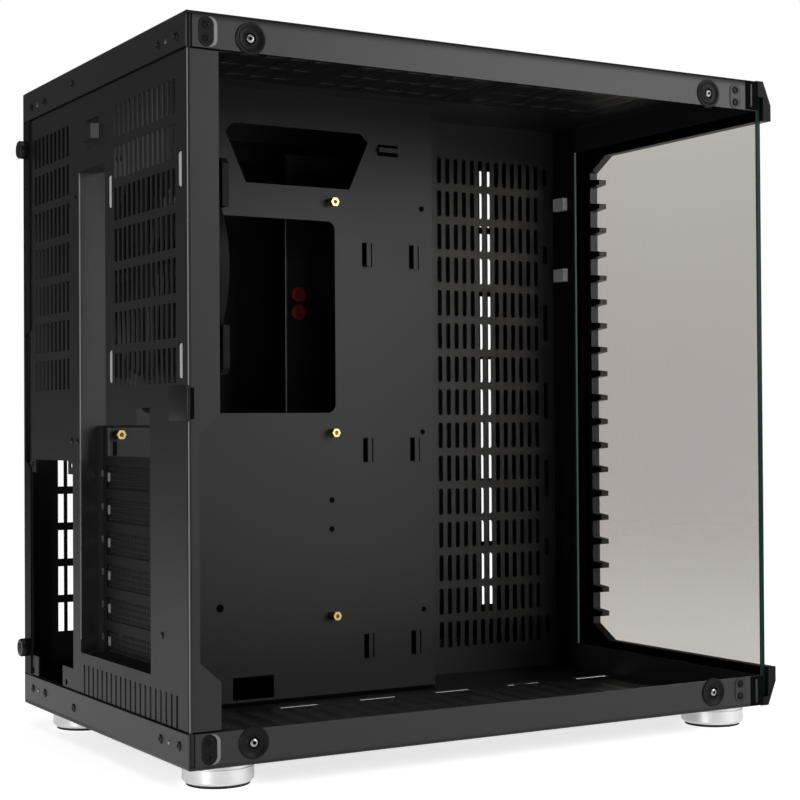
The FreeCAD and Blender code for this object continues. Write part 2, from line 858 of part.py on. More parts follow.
def side_fan_panel():
    """Slotted sheet for a row of three fans, with the fans' mounting slots beside the vents."""
    holes = slots(
        fan_columns,
        fan_column_pitch,
        fan_sheet_column_centre_v,
        fan_sheet_rows,
        2 * row_pitch,
        fan_sheet_row_start,
        tall=double_slot,
    )
    outer = fan_row_pitch + side_fan_hole_spacing / 2
    double = (fan_row_pitch + side_fan_hole_spacing) / 2
    shared = fan_row_pitch / 2
    marks = [(0, long_slot)]
    for offset, length in ((shared, long_slot), (double, short_slot), (outer, short_slot)):
        marks += [(offset, length), (-offset, length)]
    for side in (-1, 1):
        v = fan_sheet_column_centre_v + side * side_fan_hole_spacing / 2
        holes += [upright_slot(v, fan_row_centre_w + offset, length) for offset, length in marks]
    outline = rectangle(tray_front_v - sheet, fan_sheet_front_v, sheet, height - sheet)
    return plate(upright_along, fan_sheet_u, sheet, outline, holes)


def front_column():
    """Upright sheet behind the bezel's column, with windows for the bezel's clips."""
    holes = []
    for w in clip_rows:
        low = w - clip_height / 2 - fit_gap
        high = w + clip_height / 2 + fit_gap
        holes.append(rectangle(clip_near_u - fit_gap, clip_near_u + clip_width + fit_gap, low, high))
    outline = rectangle(width - column_inset, far_flange_u - sheet, bend, height - bend)
    return plate(upright_across, depth - 2 * sheet, sheet, outline, holes)


def bezel_clips():
    shapes = []
    for w in clip_rows:
        low = w - clip_height / 2
        shapes.append(
            block(clip_near_u, clip_near_u + clip_width, depth - clip_length, depth, low, low + clip_height)
        )
    return Part.makeCompound(shapes)


def right_side_panel():
    """Far side sheet with its vents and a rear flange that has a finger notch."""
    supply_centre = supply_vent_v + supply_vent_pitch * (supply_vent_columns - 1) / 2
    front_centre = depth - front_vent_inset + fan_column_pitch * (front_vent_columns - 1) / 2
    holes = slots(
        supply_vent_columns, supply_vent_pitch, supply_centre, supply_vent_rows, row_pitch, supply_vent_w
    )
    holes += slots(
        front_vent_columns,
        fan_column_pitch,
        front_centre,
        front_vent_rows,
        2 * row_pitch,
        front_vent_w,
        tall=double_slot,
    )
    main_sheet = plate(
        upright_along, far_flange_u, sheet, rectangle(0, depth, sheet, height - sheet), holes
    )
    near_u = width - side_flange
    low = rail_height + side_flange_gap
    high = height - rail_height - side_flange_gap
    notch_u = near_u + notch_depth
    flange = plate(
        upright_across,
        0,
        sheet,
        polygon(
            [
                (near_u, low),
                (far_flange_u, low),
                (far_flange_u, high),
                (near_u, high),
                (near_u, notch_top),
                (notch_u, notch_top - notch_slope),
                (notch_u, notch_bottom + notch_slope),
                (near_u, notch_bottom),
            ]
        ),
    )
    saw_lines = (low, notch_bottom + notch_slope, notch_top - notch_slope, high)
    lengths = [block(near_u, far_flange_u, 0, sheet, w0, w1) for w0, w1 in zip(saw_lines, saw_lines[1:])]
    return Part.makeCompound([main_sheet] + sawn(flange, lengths))


def thumbscrews():
    rows = (thumb_low_w, height - thumb_high_drop)
    heads = [rod(thumb_u, 0, w, towards_rear, thumb_head, thumb_length) for w in rows]
    return Part.makeCompound(heads)


def bezel():
    """Moulded front frame, open towards the open side, with chamfered edges and a comb of fins."""
    past = sheet
    frame = block(0, width, depth, bezel_front, 0, height)
    chamfer_v = bezel_front - bezel_chamfer_depth
    low_wedge = polygon([(chamfer_v, 0), (bezel_front, bezel_chamfer_height), (bezel_front, 0)])
    high_wedge = polygon(
        [(chamfer_v, height), (bezel_front, height - bezel_chamfer_height), (bezel_front, height)]
    )
    side_wedge = polygon([(width, chamfer_v), (width - bezel_side_chamfer, bezel_front), (width, bezel_front)])
    opening = polygon(
        [
            (-past, opening_bottom),
            (opening_far_u - opening_slope_u, opening_bottom),
            (opening_far_u, opening_bottom + opening_slope_w),
            (opening_far_u, opening_top - opening_slope_w),
            (opening_far_u - opening_slope_u, opening_top),
            (-past, opening_top),
        ]
    )
    hollow_near = glass_far_u + bezel_back_wall
    tools = [
        plate(upright_along, -past, width + 2 * past, low_wedge),
        plate(upright_along, -past, width + 2 * past, high_wedge),
        plate(flat, -past, height + 2 * past, side_wedge),
        plate(upright_across, depth - past, bezel_depth + 2 * past, opening),
        block(
            -past,
            glass_far_u + fit_gap,
            depth - past,
            glass_front,
            glass_bottom - fit_gap,
            glass_top + fit_gap,
        ),
    ]
    shell = frame.cut(Part.makeCompound(tools))
    hollow = block(
        hollow_near + clip_width + bezel_back_wall,
        width - bezel_side_chamfer - bezel_back_wall,
        depth - past,
        bezel_front - bezel_back_wall,
        bezel_chamfer_height + bezel_back_wall,
        height - bezel_chamfer_height - bezel_back_wall,
    )
    fins = []
    first = (opening_bottom + opening_top - fin_pitch * (fin_count - 1)) / 2
    for i in range(fin_count):
        w = first + fin_pitch * i
        outline = polygon(
            [
                (opening_far_u, w - fin_root / 2),
                (opening_far_u, w + fin_root / 2),
                (opening_far_u - fin_length, w + fin_tip / 2),
                (opening_far_u - fin_length, w - fin_tip / 2),
            ]
        )
        fins.append(plate(upright_across, glass_front, bezel_front - glass_front, outline))
    return fused([shell.cut(hollow)] + fins)


def front_glass():
    return block(glass_near_u, glass_far_u, glass_back, glass_front, glass_bottom, glass_top)


def feet():
    shapes = []
    for u, v in foot_spots:
        shapes.append(rod(u, v, pad_thickness - foot_height, upwards, foot_diameter, foot_height - pad_thickness))
    return Part.makeCompound(shapes)


def foot_pads():
    """Rubber discs glued under the feet."""
    return Part.makeCompound([rod(u, v, -foot_height, upwards, pad_diameter, pad_thickness) for u, v in foot_spots])


def rear_fan_frame():
    """Fan housing: a round barrel with corner ears, four arms and the stator that holds the bearing."""
    half = fan_size / 2
    bore = rod(fan_centre_u, rear_inner + fan_depth, fan_centre_w, towards_rear, fan_bore, fan_depth)
    barrel = rod(fan_centre_u, rear_inner + fan_depth, fan_centre_w, towards_rear, fan_size, fan_depth)
    shapes = [barrel.cut(bore)]
    for a, b in ((-1, -1), (1, -1), (1, 1), (-1, 1)):
        ear = polygon(
            [
                (fan_centre_u + a * (half - fan_corner), fan_centre_w + b * half),
                (fan_centre_u + a * (half - fan_ear), fan_centre_w + b * half),
                (fan_centre_u + a * (half - fan_ear), fan_centre_w + b * (half - fan_ear)),
                (fan_centre_u + a * half, fan_centre_w + b * (half - fan_ear)),
                (fan_centre_u + a * half, fan_centre_w + b * (half - fan_corner)),
            ]
        )
        for level in (rear_inner, rear_inner + fan_depth - fan_flange):
            shapes.append(plate(upright_across, level, fan_flange, ear).cut(bore))
    stator_length = fan_depth - hub_gap - 2 * hub_wall
    stator_end = rear_inner + stator_length
    shapes.append(rod(fan_centre_u, stator_end, fan_centre_w, towards_rear, stator_diameter, stator_length))
    arm = fan_flange / 2
    reach = (fan_bore + fan_size) / 4
    for side in (-1, 1):
        near, far = sorted((side * stator_diameter / 4, side * reach))
        u, w = fan_centre_u, fan_centre_w
        shapes.append(block(u + near, u + far, rear_inner, rear_inner + fan_flange, w - arm, w + arm))
        shapes.append(block(u - arm, u + arm, rear_inner, rear_inner + fan_flange, w + near, w + far))
    housing = fused(shapes)
    bore_length = stator_length - fan_flange / 2
    return housing.cut(
        rod(fan_centre_u, stator_end, fan_centre_w, towards_rear, shaft_diameter + 2 * shaft_play, bore_length)
    )


def blade(turn):
    """One flat tapered blade, set at its pitch from inside the hub's wall to near the barrel."""
    middle_v = rear_inner + fan_flange + hub_gap + (fan_depth - fan_flange - 2 * hub_gap) / 2
    centre = place(fan_centre_u, middle_v, fan_centre_w)
    pitch = math.radians(blade_angle)
    outwards = Vector(math.cos(turn), 0, math.sin(turn))
    along = Vector(-math.sin(turn) * math.cos(pitch), -math.sin(pitch), math.cos(turn) * math.cos(pitch))
    through = outwards.cross(along) * blade_thickness
    corners = []
    for reach, half in (
        (hub_diameter / 2 - hub_wall / 4, blade_root_chord / 2),
        (fan_bore / 2 - blade_tip_gap, -blade_tip_chord / 2),
    ):
        half_run = abs(half) * math.cos(pitch) + blade_thickness
        middle = centre + outwards * math.sqrt(reach**2 - half_run**2) - through / 2
        corners += [middle + along * half, middle - along * half]
    return Part.Face(Part.makePolygon(corners + corners[:1])).extrude(through)


def rear_fan_rotor():
    """Cup-shaped hub with its blades and the shaft that runs in the housing's stator."""
    rear_v = rear_inner + fan_flange + hub_gap
    front_v = rear_inner + fan_depth - hub_wall / 2
    length = front_v - rear_v
    cup = rod(fan_centre_u, front_v, fan_centre_w, towards_rear, hub_diameter, length)
    inside = rod(
        fan_centre_u, front_v - hub_wall, fan_centre_w, towards_rear, hub_diameter - 2 * hub_wall, length
    )
    shaft_end = rear_inner + fan_flange
    shaft = rod(
        fan_centre_u, front_v - hub_wall, fan_centre_w, towards_rear, shaft_diameter, front_v - hub_wall - shaft_end
    )
    blades = [blade(2 * math.pi * i / blade_count) for i in range(blade_count)]
    hollow_cup = cup.cut(inside)
    return fused([hollow_cup, shaft] + blades)


def drive_bracket():
    """Upright sheet for drives, flanged to the tray's front fold."""
    flange_v = tray_front_v - sheet
    rear_v = tray_front_v - bracket_reach
    top = height - bracket_drop
    main_sheet = block(bracket_u, bracket_u + sheet, rear_v, flange_v, bracket_bottom, top)
    near_u = bracket_u + sheet - bracket_flange
    flange = block(near_u, bracket_u + sheet, flange_v - sheet, flange_v, bracket_bottom, top)
    return fused([main_sheet, flange])


def button_block(v, length, deep, play):
    """Box of a button or, with play around it, of its well."""
    middle = io_near_u + io_housing_width / 2
    half_u = button_width / 2 + play
    half_v = length / 2 + play
    return block(middle - half_u, middle + half_u, v - half_v, v + half_v, height - deep, height)


def usb_spots():
    return [depth - usb_inset - usb_pitch * i for i in range(2)]


def io_housing():
    """Moulded holder under the roof for the buttons, the sockets and the jack."""
    far_u = io_near_u + io_housing_width
    front_v = io_rear_v + io_housing_length
    body = block(io_near_u, far_u, io_rear_v, front_v, height - io_housing_depth, height)
    lip = block(
        io_near_u - io_lip,
        far_u + io_lip,
        io_rear_v - io_lip,
        front_v + io_lip,
        height - sheet - io_lip,
        height - sheet,
    )
    middle = io_near_u + io_housing_width / 2
    well = button_length + button_travel + fit_gap
    tools = [button_block(power_v, power_length, well, fit_gap)]
    tools.append(button_block(reset_v, reset_length, well, fit_gap))
    for v in usb_spots():
        half_u = usb_short / 2 + fit_gap
        half_v = usb_long / 2 + fit_gap
        tools.append(block(middle - half_u, middle + half_u, v - half_v, v + half_v, height - usb_depth, height))
    tools.append(rod(middle, depth - jack_inset, height - usb_depth, upwards, jack_diameter, usb_depth))
    return fused([body, lip]).cut(Part.makeCompound(tools))


def usb_ports():
    """Metal socket shells, closed at the bottom."""
    middle = io_near_u + io_housing_width / 2
    low = height - usb_depth
    shapes = []
    for v in usb_spots():
        half_u = usb_short / 2
        half_v = usb_long / 2
        shell = block(middle - half_u, middle + half_u, v - half_v, v + half_v, low, height)
        half_u -= usb_wall
        half_v -= usb_wall
        inside = block(middle - half_u, middle + half_u, v - half_v, v + half_v, low + usb_wall, height)
        shapes.append(shell.cut(inside))
    return Part.makeCompound(shapes)


def main():
    os.makedirs("parts", exist_ok=True)
    pieces = {
        "base_pan": base_pan(),
        "top_pan": top_pan(),
        "rear_panel": rear_panel(),
        "slot_plate": slot_plate(),
        "motherboard_tray": motherboard_tray(),
        "standoffs": standoffs(),
        "side_fan_panel": side_fan_panel(),
        "front_column": front_column(),
        "bezel_clips": bezel_clips(),
        "right_side_panel": right_side_panel(),
        "thumbscrews": thumbscrews(),
        "bezel": bezel(),
        "front_glass": front_glass(),
        "feet": feet(),
        "foot_pads": foot_pads(),
        "rear_fan_frame": rear_fan_frame(),
        "rear_fan_rotor": rear_fan_rotor(),
        "drive_bracket": drive_bracket(),
        "io_housing": io_housing(),
        "usb_ports": usb_ports(),
        "power_button": button_block(power_v, power_length, button_length, 0),
        "reset_button": button_block(reset_v, reset_length, button_length, 0),
    }
    for number, w in enumerate(cover_rows, start=1):
        pieces[f"slot_cover_{number}"] = slot_cover(w)
    for name, shape in pieces.items():
        shape.exportStep(f"parts/{name}.step")


if __name__ == "__main__":
    main()
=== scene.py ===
import bpy
import bmesh
import math
from mathutils import Matrix, Vector


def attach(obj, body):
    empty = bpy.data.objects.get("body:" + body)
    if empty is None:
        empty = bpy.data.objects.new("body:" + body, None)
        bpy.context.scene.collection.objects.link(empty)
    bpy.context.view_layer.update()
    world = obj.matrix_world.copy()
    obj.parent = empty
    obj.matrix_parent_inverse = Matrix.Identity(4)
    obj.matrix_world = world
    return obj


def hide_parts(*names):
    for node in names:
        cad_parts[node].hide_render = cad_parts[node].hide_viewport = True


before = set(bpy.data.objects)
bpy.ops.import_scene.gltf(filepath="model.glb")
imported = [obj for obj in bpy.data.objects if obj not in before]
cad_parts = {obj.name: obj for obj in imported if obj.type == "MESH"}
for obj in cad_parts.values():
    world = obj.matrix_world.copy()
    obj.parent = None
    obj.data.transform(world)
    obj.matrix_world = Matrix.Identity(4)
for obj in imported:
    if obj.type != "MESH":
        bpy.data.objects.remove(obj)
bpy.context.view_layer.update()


# Floor and roof pans, the outer skin of the chassis.
# Cold-rolled steel sheet with a folded rail on each side, stoved with a satin black powder coat.
# They stay as modelled and only take their finish here.
class Finish:
    """One socket of a material: + - * add Math nodes, and node() adds any other node."""

    def __init__(self, socket):
        self.socket = socket
        self.tree = socket.id_data

    def node(self, kind, settings=None, out=0, **inputs):
        """Adds a node; its inputs are given by name, or by number as i0, i1 and so on."""
        made = self.tree.nodes.new(kind)
        for name, value in (settings or {}).items():
            setattr(made, name, value)
        for name, value in inputs.items():
            target = made.inputs[int(name[1:])] if name[1:].isdigit() else made.inputs[name]
            if isinstance(value, Finish):
                self.tree.links.new(value.socket, target)
            else:
                target.default_value = value
        return Finish(made.outputs[out])

    def maths(self, operation, first, second):
        return self.node("ShaderNodeMath", {"operation": operation}, i0=first, i1=second)

    def __add__(self, other):
        return self.maths("ADD", self, other)

    def __sub__(self, other):
        return self.maths("SUBTRACT", self, other)

    def __rsub__(self, other):
        return self.maths("SUBTRACT", other, self)

    def __mul__(self, other):
        return self.maths("MULTIPLY", self, other)

    __radd__ = __add__
    __rmul__ = __mul__

    def noise(self, scale, detail=2.0):
        return self.node("ShaderNodeTexNoise", Vector=self, Scale=scale, Detail=detail)

    def stretched(self, x, y, z):
        return self.node("ShaderNodeMapping", Vector=self, Scale=(x, y, z))

    def mixed(self, low, high):
        return self.node("ShaderNodeMix", {"data_type": "RGBA"}, 2, i0=self, i6=(*low, 1), i7=(*high, 1))

    def eased(self, low, high):
        return self.node("ShaderNodeMapRange", {"interpolation_type": "SMOOTHSTEP"}, i0=self, i1=low, i2=high)

    def axis(self, number):
        return self.node("ShaderNodeSeparateXYZ", None, number, Vector=self)

    def bump(self, depth, strength):
        return self.node("ShaderNodeBump", Height=self, Distance=depth, Strength=strength)


def new_finish(name, **constants):
    """A material of one Principled shader, its object coordinates and a way to link its sockets."""
    material = bpy.data.materials.new(name)
    material.use_nodes = True
    tree = material.node_tree
    shader = tree.nodes["Principled BSDF"]
    for key, value in constants.items():
        shader.inputs[key.replace("_", " ")].default_value = value

    def link(**sockets):
        for key, value in sockets.items():
            tree.links.new(value.socket, shader.inputs[key.replace("_", " ")])

    return material, Finish(tree.nodes.new("ShaderNodeTexCoord").outputs["Object"]), link


def coat(name, dark, light, rough, grain_scale, peel_depth, gloss=None, **constants):
    """A sprayed or moulded skin: fine grain, a softer peel under it and slow drifts of tone and gloss."""
    material, place, link = new_finish(name, **constants)
    drift = place.noise(9.0, 3.0)
    grain = place.noise(grain_scale, 2.0)
    peel = place.noise(grain_scale * 0.3, 1.0)
    link(
        Base_Color=(drift * 0.6 + grain * 0.4).mixed(dark, light),
        Roughness=rough + (grain - 0.5) * 0.14 + (drift - 0.5) * 0.1,
        Normal=(grain * 0.6 + peel).bump(peel_depth, 0.5),
    )
    if gloss:
        link(Coat_Weight=gloss(place))
    return material


def dress(material, *nodes):
    """Gives CAD nodes one finish."""
    for node in nodes:
        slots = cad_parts[node].data.materials
        slots.clear()
        slots.append(material)


def pan_gloss(place):
    """Gloss that fades over the open side's bends and towards the floor's far half."""
    across, height = place.axis(0), place.axis(2)
    open_side = across.maths("LESS_THAN", across, -0.1355)
    roof_bend, floor_bend = height.eased(0.4212, 0.4262), 1 - height.eased(0.015, 0.0175)
    far_floor = across.eased(-0.08, 0.045) * height.maths("LESS_THAN", height, 0.017)
    dull = open_side * (roof_bend + 0.5 * floor_bend) + 0.6 * far_floor
    return 0.85 * dull.maths("MAXIMUM", 1 - dull, 0.0)


fine_grain, coat_peel = 1500.0, 0.00005
pan_coat = coat(
    "pan_coat",
    (0.0055, 0.0055, 0.0057),
    (0.0105, 0.0105, 0.0108),
    0.46,
    fine_grain,
    coat_peel,
    pan_gloss,
    Specular_IOR_Level=0.1,
    Coat_Roughness=0.42,
)
dress(pan_coat, "base_pan", "top_pan")


# Catches and joint plates on the open side's rails.
# Pressed steel dishes with a bright zinc stud take the side window's posts. Beside them small oblong plates
# hold two black machine screws each; a pale strip beside each rear plate is a painted highlight,
# the lit wall of the plate's recess.
def spot(u, v, w):
    """Place in metres from millimetres off the open side, off the rear plane and above the floor sheet."""
    return Vector(((u - 137.5) / 1000, (207.95 - v) / 1000, (14 + w) / 1000))


def keep(name, mesh, material, body="chassis", smooth=40):
    """Puts a finished mesh in the scene as one piece of the object."""
    piece = bpy.data.objects.new(name, mesh)
    bpy.context.scene.collection.objects.link(piece)
    if material:
        mesh.materials.clear()
        mesh.materials.append(material)
    mesh.shade_smooth()
    mesh.set_sharp_from_angle(angle=math.radians(smooth))
    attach(piece, body)
    return piece


def plain(name, shape):
    """A mesh from a finished bmesh, which is freed."""
    mesh = bpy.data.meshes.new(name)
    shape.to_mesh(mesh)
    shape.free()
    return mesh


def turned_mesh(name, profile, sides):
    """Solid turned about +Z from points of radius and height in millimetres."""
    shape = bmesh.new()
    points = [shape.verts.new((radius / 1000, 0, height / 1000)) for radius, height in profile]
    edges = [shape.edges.new(pair) for pair in zip(points, points[1:])]
    bmesh.ops.spin(shape, geom=points + edges, axis=(0, 0, 1), cent=(0, 0, 0), angle=math.tau, steps=sides)
    bmesh.ops.remove_doubles(shape, verts=shape.verts, dist=1e-7)
    bmesh.ops.recalc_face_normals(shape, faces=shape.faces)
    return plain(name, shape)


def screw_mesh(name, radius, height, reach, deep):
    """Pan head with a cross recess: the top is filled between its rim and the cross, which is then sunk."""
    shape = bmesh.new()
    sides = 24
    rings = []
    for share, lift in ((1.0, 0.0), (1.0, 0.45), (0.9, 0.78), (0.72, 1.0)):
        ring = []
        for i in range(sides):
            turn, wide = math.tau * i / sides, radius * share
            ring.append(shape.verts.new((wide * math.cos(turn), wide * math.sin(turn), height * lift)))
        rings.append(ring)
    for low, high in zip(rings, rings[1:]):
        for i in range(sides):
            shape.faces.new((low[i - 1], low[i], high[i], high[i - 1]))
    shape.faces.new(list(reversed(rings[0])))
    half = reach * 0.28
    corner = [(reach, -half), (reach, half), (half, half)]
    cross = []
    for quarter in range(4):
        turn = Matrix.Rotation(math.pi / 2 * quarter, 2)
        for a, b in corner:
            x, y = turn @ Vector((a, b))
            cross.append(shape.verts.new((x, y, height)))
    sunk = [shape.verts.new((v.co.x * 0.7, v.co.y * 0.7, height - deep)) for v in cross]
    count = len(cross)
    for i in range(count):
        shape.faces.new((cross[i], cross[i - 1], sunk[i - 1], sunk[i]))
    shape.faces.new(sunk)
    rim = [shape.edges.get((rings[-1][i - 1], rings[-1][i])) for i in range(sides)]
    lip = [shape.edges.get((cross[i - 1], cross[i])) for i in range(count)]
    bmesh.ops.triangle_fill(shape, edges=rim + lip, use_beauty=True)
    bmesh.ops.recalc_face_normals(shape, faces=shape.faces)
    bmesh.ops.scale(shape, vec=(0.001, 0.001, 0.001), verts=shape.verts)
    return plain(name, shape)


def repeat_tree():
    """Geometry Nodes: one shape set on every point, turned, spun by chance and given its finish."""
    tree = bpy.data.node_groups.new("set_on_spots", "GeometryNodeTree")
    sockets = tree.interface
    for title, kind in (
        ("Spots", "Geometry"),
        ("Shape", "Object"),
        ("Turn", "Vector"),
        ("Spin", "Float"),
        ("Finish", "Material"),
    ):
        sockets.new_socket(title, in_out="INPUT", socket_type="NodeSocket" + kind)
    sockets.new_socket("Made", in_out="OUTPUT", socket_type="NodeSocketGeometry")
    given = tree.nodes.new("NodeGroupInput")
    shown = tree.nodes.new("GeometryNodeObjectInfo")
    turn = tree.nodes.new("FunctionNodeEulerToRotation")
    scatter = tree.nodes.new("GeometryNodeInstanceOnPoints")
    chance = tree.nodes.new("FunctionNodeRandomValue")
    chance.data_type = "FLOAT"
    chance.inputs["Seed"].default_value = 7
    about = tree.nodes.new("ShaderNodeCombineXYZ")
    spun = tree.nodes.new("FunctionNodeEulerToRotation")
    twist = tree.nodes.new("GeometryNodeRotateInstances")
    real = tree.nodes.new("GeometryNodeRealizeInstances")
    paint = tree.nodes.new("GeometryNodeSetMaterial")
    made = tree.nodes.new("NodeGroupOutput")
    for source, target in (
        (given.outputs["Spots"], scatter.inputs["Points"]),
        (given.outputs["Shape"], shown.inputs["Object"]),
        (shown.outputs["Geometry"], scatter.inputs["Instance"]),
        (given.outputs["Turn"], turn.inputs["Euler"]),
        (turn.outputs["Rotation"], scatter.inputs["Rotation"]),
        (given.outputs["Spin"], chance.inputs[3]),
        (chance.outputs[1], about.inputs["Z"]),
        (about.outputs["Vector"], spun.inputs["Euler"]),
        (scatter.outputs["Instances"], twist.inputs["Instances"]),
        (spun.outputs["Rotation"], twist.inputs["Rotation"]),
        (twist.outputs["Instances"], real.inputs["Geometry"]),
        (real.outputs["Geometry"], paint.inputs["Geometry"]),
        (given.outputs["Finish"], paint.inputs["Material"]),
        (paint.outputs["Geometry"], made.inputs["Made"]),
    ):
        tree.links.new(source, target)
    return tree


set_on_spots = repeat_tree()


def grown(holder, tree, values):
    """Runs a tree on an object with its named inputs and gives back the plain mesh."""
    modifier = holder.modifiers.new("grown", "NODES")
    modifier.node_group = tree
    for item in tree.interface.items_tree:
        if item.in_out == "INPUT" and item.name in values:
            modifier[item.identifier] = values[item.name]
    graph = bpy.context.evaluated_depsgraph_get()
    mesh = bpy.data.meshes.new_from_object(holder.evaluated_get(graph))
    holder.modifiers.clear()
    bpy.data.objects.remove(holder)
    return mesh


def repeated(name, shape, spots, facing, material, spin=math.tau, body="chassis"):
    """One piece made of a shape repeated on several places, its +Z turned to one direction."""
    dots = bpy.data.meshes.new(name)
    dots.from_pydata([tuple(place) for place in spots], [], [])
    holder = bpy.data.objects.new(name + "_spots", dots)
    pattern = bpy.data.objects.new(name + "_pattern", shape)
    for helper in (holder, pattern):
        bpy.context.scene.collection.objects.link(helper)
    turn = Vector(facing).to_track_quat("Z", "Y").to_euler()
    values = {"Shape": pattern, "Turn": tuple(turn), "Spin": spin, "Finish": material}
    mesh = grown(holder, set_on_spots, values)
    bpy.data.objects.remove(pattern)
    return keep(name, mesh, material, body)


outwards = (-1, 0, 0)
zinc = coat("zinc_plate", (0.3, 0.3, 0.31), (0.5, 0.5, 0.51), 0.3, 900.0, 0.00003, Metallic=1.0)
catch_spots = [spot(0, v, w) for v in (38.9, 367.5) for w in (12.3, 400.7)]
dish = [(0, -0.9), (8.9, -0.9), (9.1, -0.6), (9.1, 0.5), (8.7, 0.9), (7.8, 0.95), (7.0, 0.5), (6.4, 0.12)]
dish += [(4.6, 0.1), (4.2, 0.55), (3.4, 0.6), (3.0, 0.0), (0, 0.0)]
# Darker than the rail's coat: on the catches and the rear joint plates this is painted shade of the recesses
# they sit in; on the screws it is their own black oxide.
oxide_and_recess_shade = coat(
    "oxide_and_recess_shade",
    (0.003, 0.003, 0.003),
    (0.008, 0.008, 0.008),
    0.4,
    fine_grain,
    0.00004,
    Specular_IOR_Level=0.14,
)
catch = turned_mesh("rail_catch", dish, 40)
repeated("rail_catches", catch, catch_spots, outwards, oxide_and_recess_shade)
stud = [(0, -0.2), (2.3, -0.2), (2.3, 0.5), (1.9, 0.85), (1.1, 0.95), (0.9, -0.1), (0, -0.15)]
repeated("catch_studs", turned_mesh("catch_stud", stud, 20), catch_spots, outwards, zinc)


def lofted(name, rings):
    """Closed mesh through rings of points in metres, filled at both ends."""
    shape = bmesh.new()
    rows = [[shape.verts.new(point) for point in ring] for ring in rings]
    for low, high in zip(rows, rows[1:]):
        for i in range(len(low)):
            shape.faces.new((low[i - 1], low[i], high[i], high[i - 1]))
    shape.faces.new(rows[-1])
    shape.faces.new(list(reversed(rows[0])))
    bmesh.ops.recalc_face_normals(shape, faces=shape.faces)
    return plain(name, shape)


def oblong_mesh(name, length, across, height, edge):
    """Rounded oblong along Y with a softened rim, standing on the XY plane."""
    sides = 24
    steps = [(-0.3, 0.0), (height - edge, 0.0), (height, edge), (height, edge * 2.4), (height - edge, edge * 3)]
    rings = []
    for lift, inset in steps:
        ring = []
        for i in range(sides):
            turn, radius = math.tau * (i + 0.5) / sides, across / 2 - inset
            straight = math.copysign((length - across) / 2, math.cos(turn))
            ring.append(Vector((straight + radius * math.cos(turn), radius * math.sin(turn), lift)) / 1000)
        rings.append(ring)
    mesh = lofted(name, rings)
    mesh.transform(Matrix.Rotation(math.pi / 2, 4, "Z"))
    return mesh


def powder_coat(name, shine):
    """The black powder coat of the inner sheets, more or less shiny."""
    dark, light = (0.0065, 0.0065, 0.0067), (0.0115, 0.0115, 0.0118)
    return coat(name, dark, light, 0.44, fine_grain, coat_peel, Specular_IOR_Level=shine)


black_coat = powder_coat("black_powder_coat", 0.5)
# Pale coat used only for painted highlights: bright lines and patches where edges, walls and rims catch the
# light.
painted_highlight = coat("painted_highlight_coat", (0.16, 0.16, 0.165), (0.3, 0.3, 0.305), 0.3, fine_grain, 0.00003)
rear_plates, front_plates = [(12.3, 11.0), (12.3, 402.0)], [(390.5, 12.0), (390.5, 401.0)]
plate_length, plate_width, highlight_shift = 16.5, 9.0, 2.2
highlight_places = [(v + highlight_shift, w) for v, w in rear_plates]
for name, places, height, edge, finish in (
    ("rear_rail_plates", rear_plates, 0.5, 0.2, oxide_and_recess_shade),
    ("front_rail_plates", front_plates, 0.5, 0.2, black_coat),
    # The rear plates' pale strips are painted highlights on the lit right-hand wall of each recess.
    ("rear_plate_shims", highlight_places, 0.25, 0.1, painted_highlight),
):
    plate = oblong_mesh(name, plate_length, plate_width, height, edge)
    repeated(name, plate, [spot(0, v, w) for v, w in places], outwards, finish, spin=0.0)
plate_screws = [spot(0.1, v, w + side) for v, w in rear_plates + front_plates for side in (-4.0, 4.0)]
rail_screw = screw_mesh("rail_screw", 2.6, 1.05, 1.5, 0.7)
repeated("rail_screws", rail_screw, plate_screws, outwards, oxide_and_recess_shade)


# Rear sheet, folded at the near corner and punched with vents.
# Powder-coated steel held to the pans by low cross-head screws and small peened pins along both rails.
dress(powder_coat("rear_coat", 0.43), "rear_panel")
rearwards = (0, 1, 0)
screw_black = coat(
    "black_oxide_screw", (0.006, 0.006, 0.006), (0.02, 0.02, 0.02), 0.34, 2500.0, 0.00002, Metallic=0.6
)
rear_screws = [(u, 400.4) for u in (13.4, 38.9, 231.0, 257.5)] + [(178.8, 403.0)]
rear_screws += [(u, 12.2) for u in (12.9, 38.9, 234.0, 258.0)] + [(179.8, 9.9)]
rear_pins = [(27.5, 400.4), (245.2, 400.4), (26.8, 12.2), (247.0, 12.2)]
rear_screw_spots = [spot(u, 0.05, w) for u, w in rear_screws]
rear_screw = screw_mesh("rear_rail_screw", 2.7, 0.8, 1.6, 0.6)
repeated("rear_rail_screws", rear_screw, rear_screw_spots, rearwards, screw_black)
pin = turned_mesh("rear_pin", [(0, -0.2), (1.3, -0.2), (1.3, 0.2), (0.9, 0.5), (0, 0.6)], 14)
repeated("rear_rail_pins", pin, [spot(u, 0, w) for u, w in rear_pins], rearwards, zinc)
rivet = turned_mesh("sheet_rivet", [(0, -0.2), (2.0, -0.2), (1.9, 0.3), (1.2, 0.7), (0, 0.8)], 16)
sheet_rivets = [(176.0, 330.6), (38.0, 70.0), (184.0, 178.0), (173.5, 177.5)]
rivet_spots = [spot(u, 1.0, w) for u, w in sheet_rivets]
repeated("rear_sheet_rivets", rivet, rivet_spots, rearwards, screw_black)


# Latch plate over the top of the slot cut-away, ending at the near corner.
# A steel strap that is pulled off to reach the card screws.
# A black strip where it meets the flange is painted shade, the shadow in the gap there.
def strip_mesh(name, path, low, high):
    """Upright strip on a closed path of millimetres from the open side and the rear plane."""
    shape = bmesh.new()
    base = [shape.verts.new(spot(u, v, low)) for u, v in path]
    bottom = shape.faces.new(base)
    lifted = bmesh.ops.extrude_face_region(shape, geom=[bottom])
    tops = [item for item in lifted["geom"] if isinstance(item, bmesh.types.BMVert)]
    bmesh.ops.translate(shape, vec=(0, 0, (high - low) / 1000), verts=tops)
    bmesh.ops.recalc_face_normals(shape, faces=shape.faces)
    return plain(name, shape)


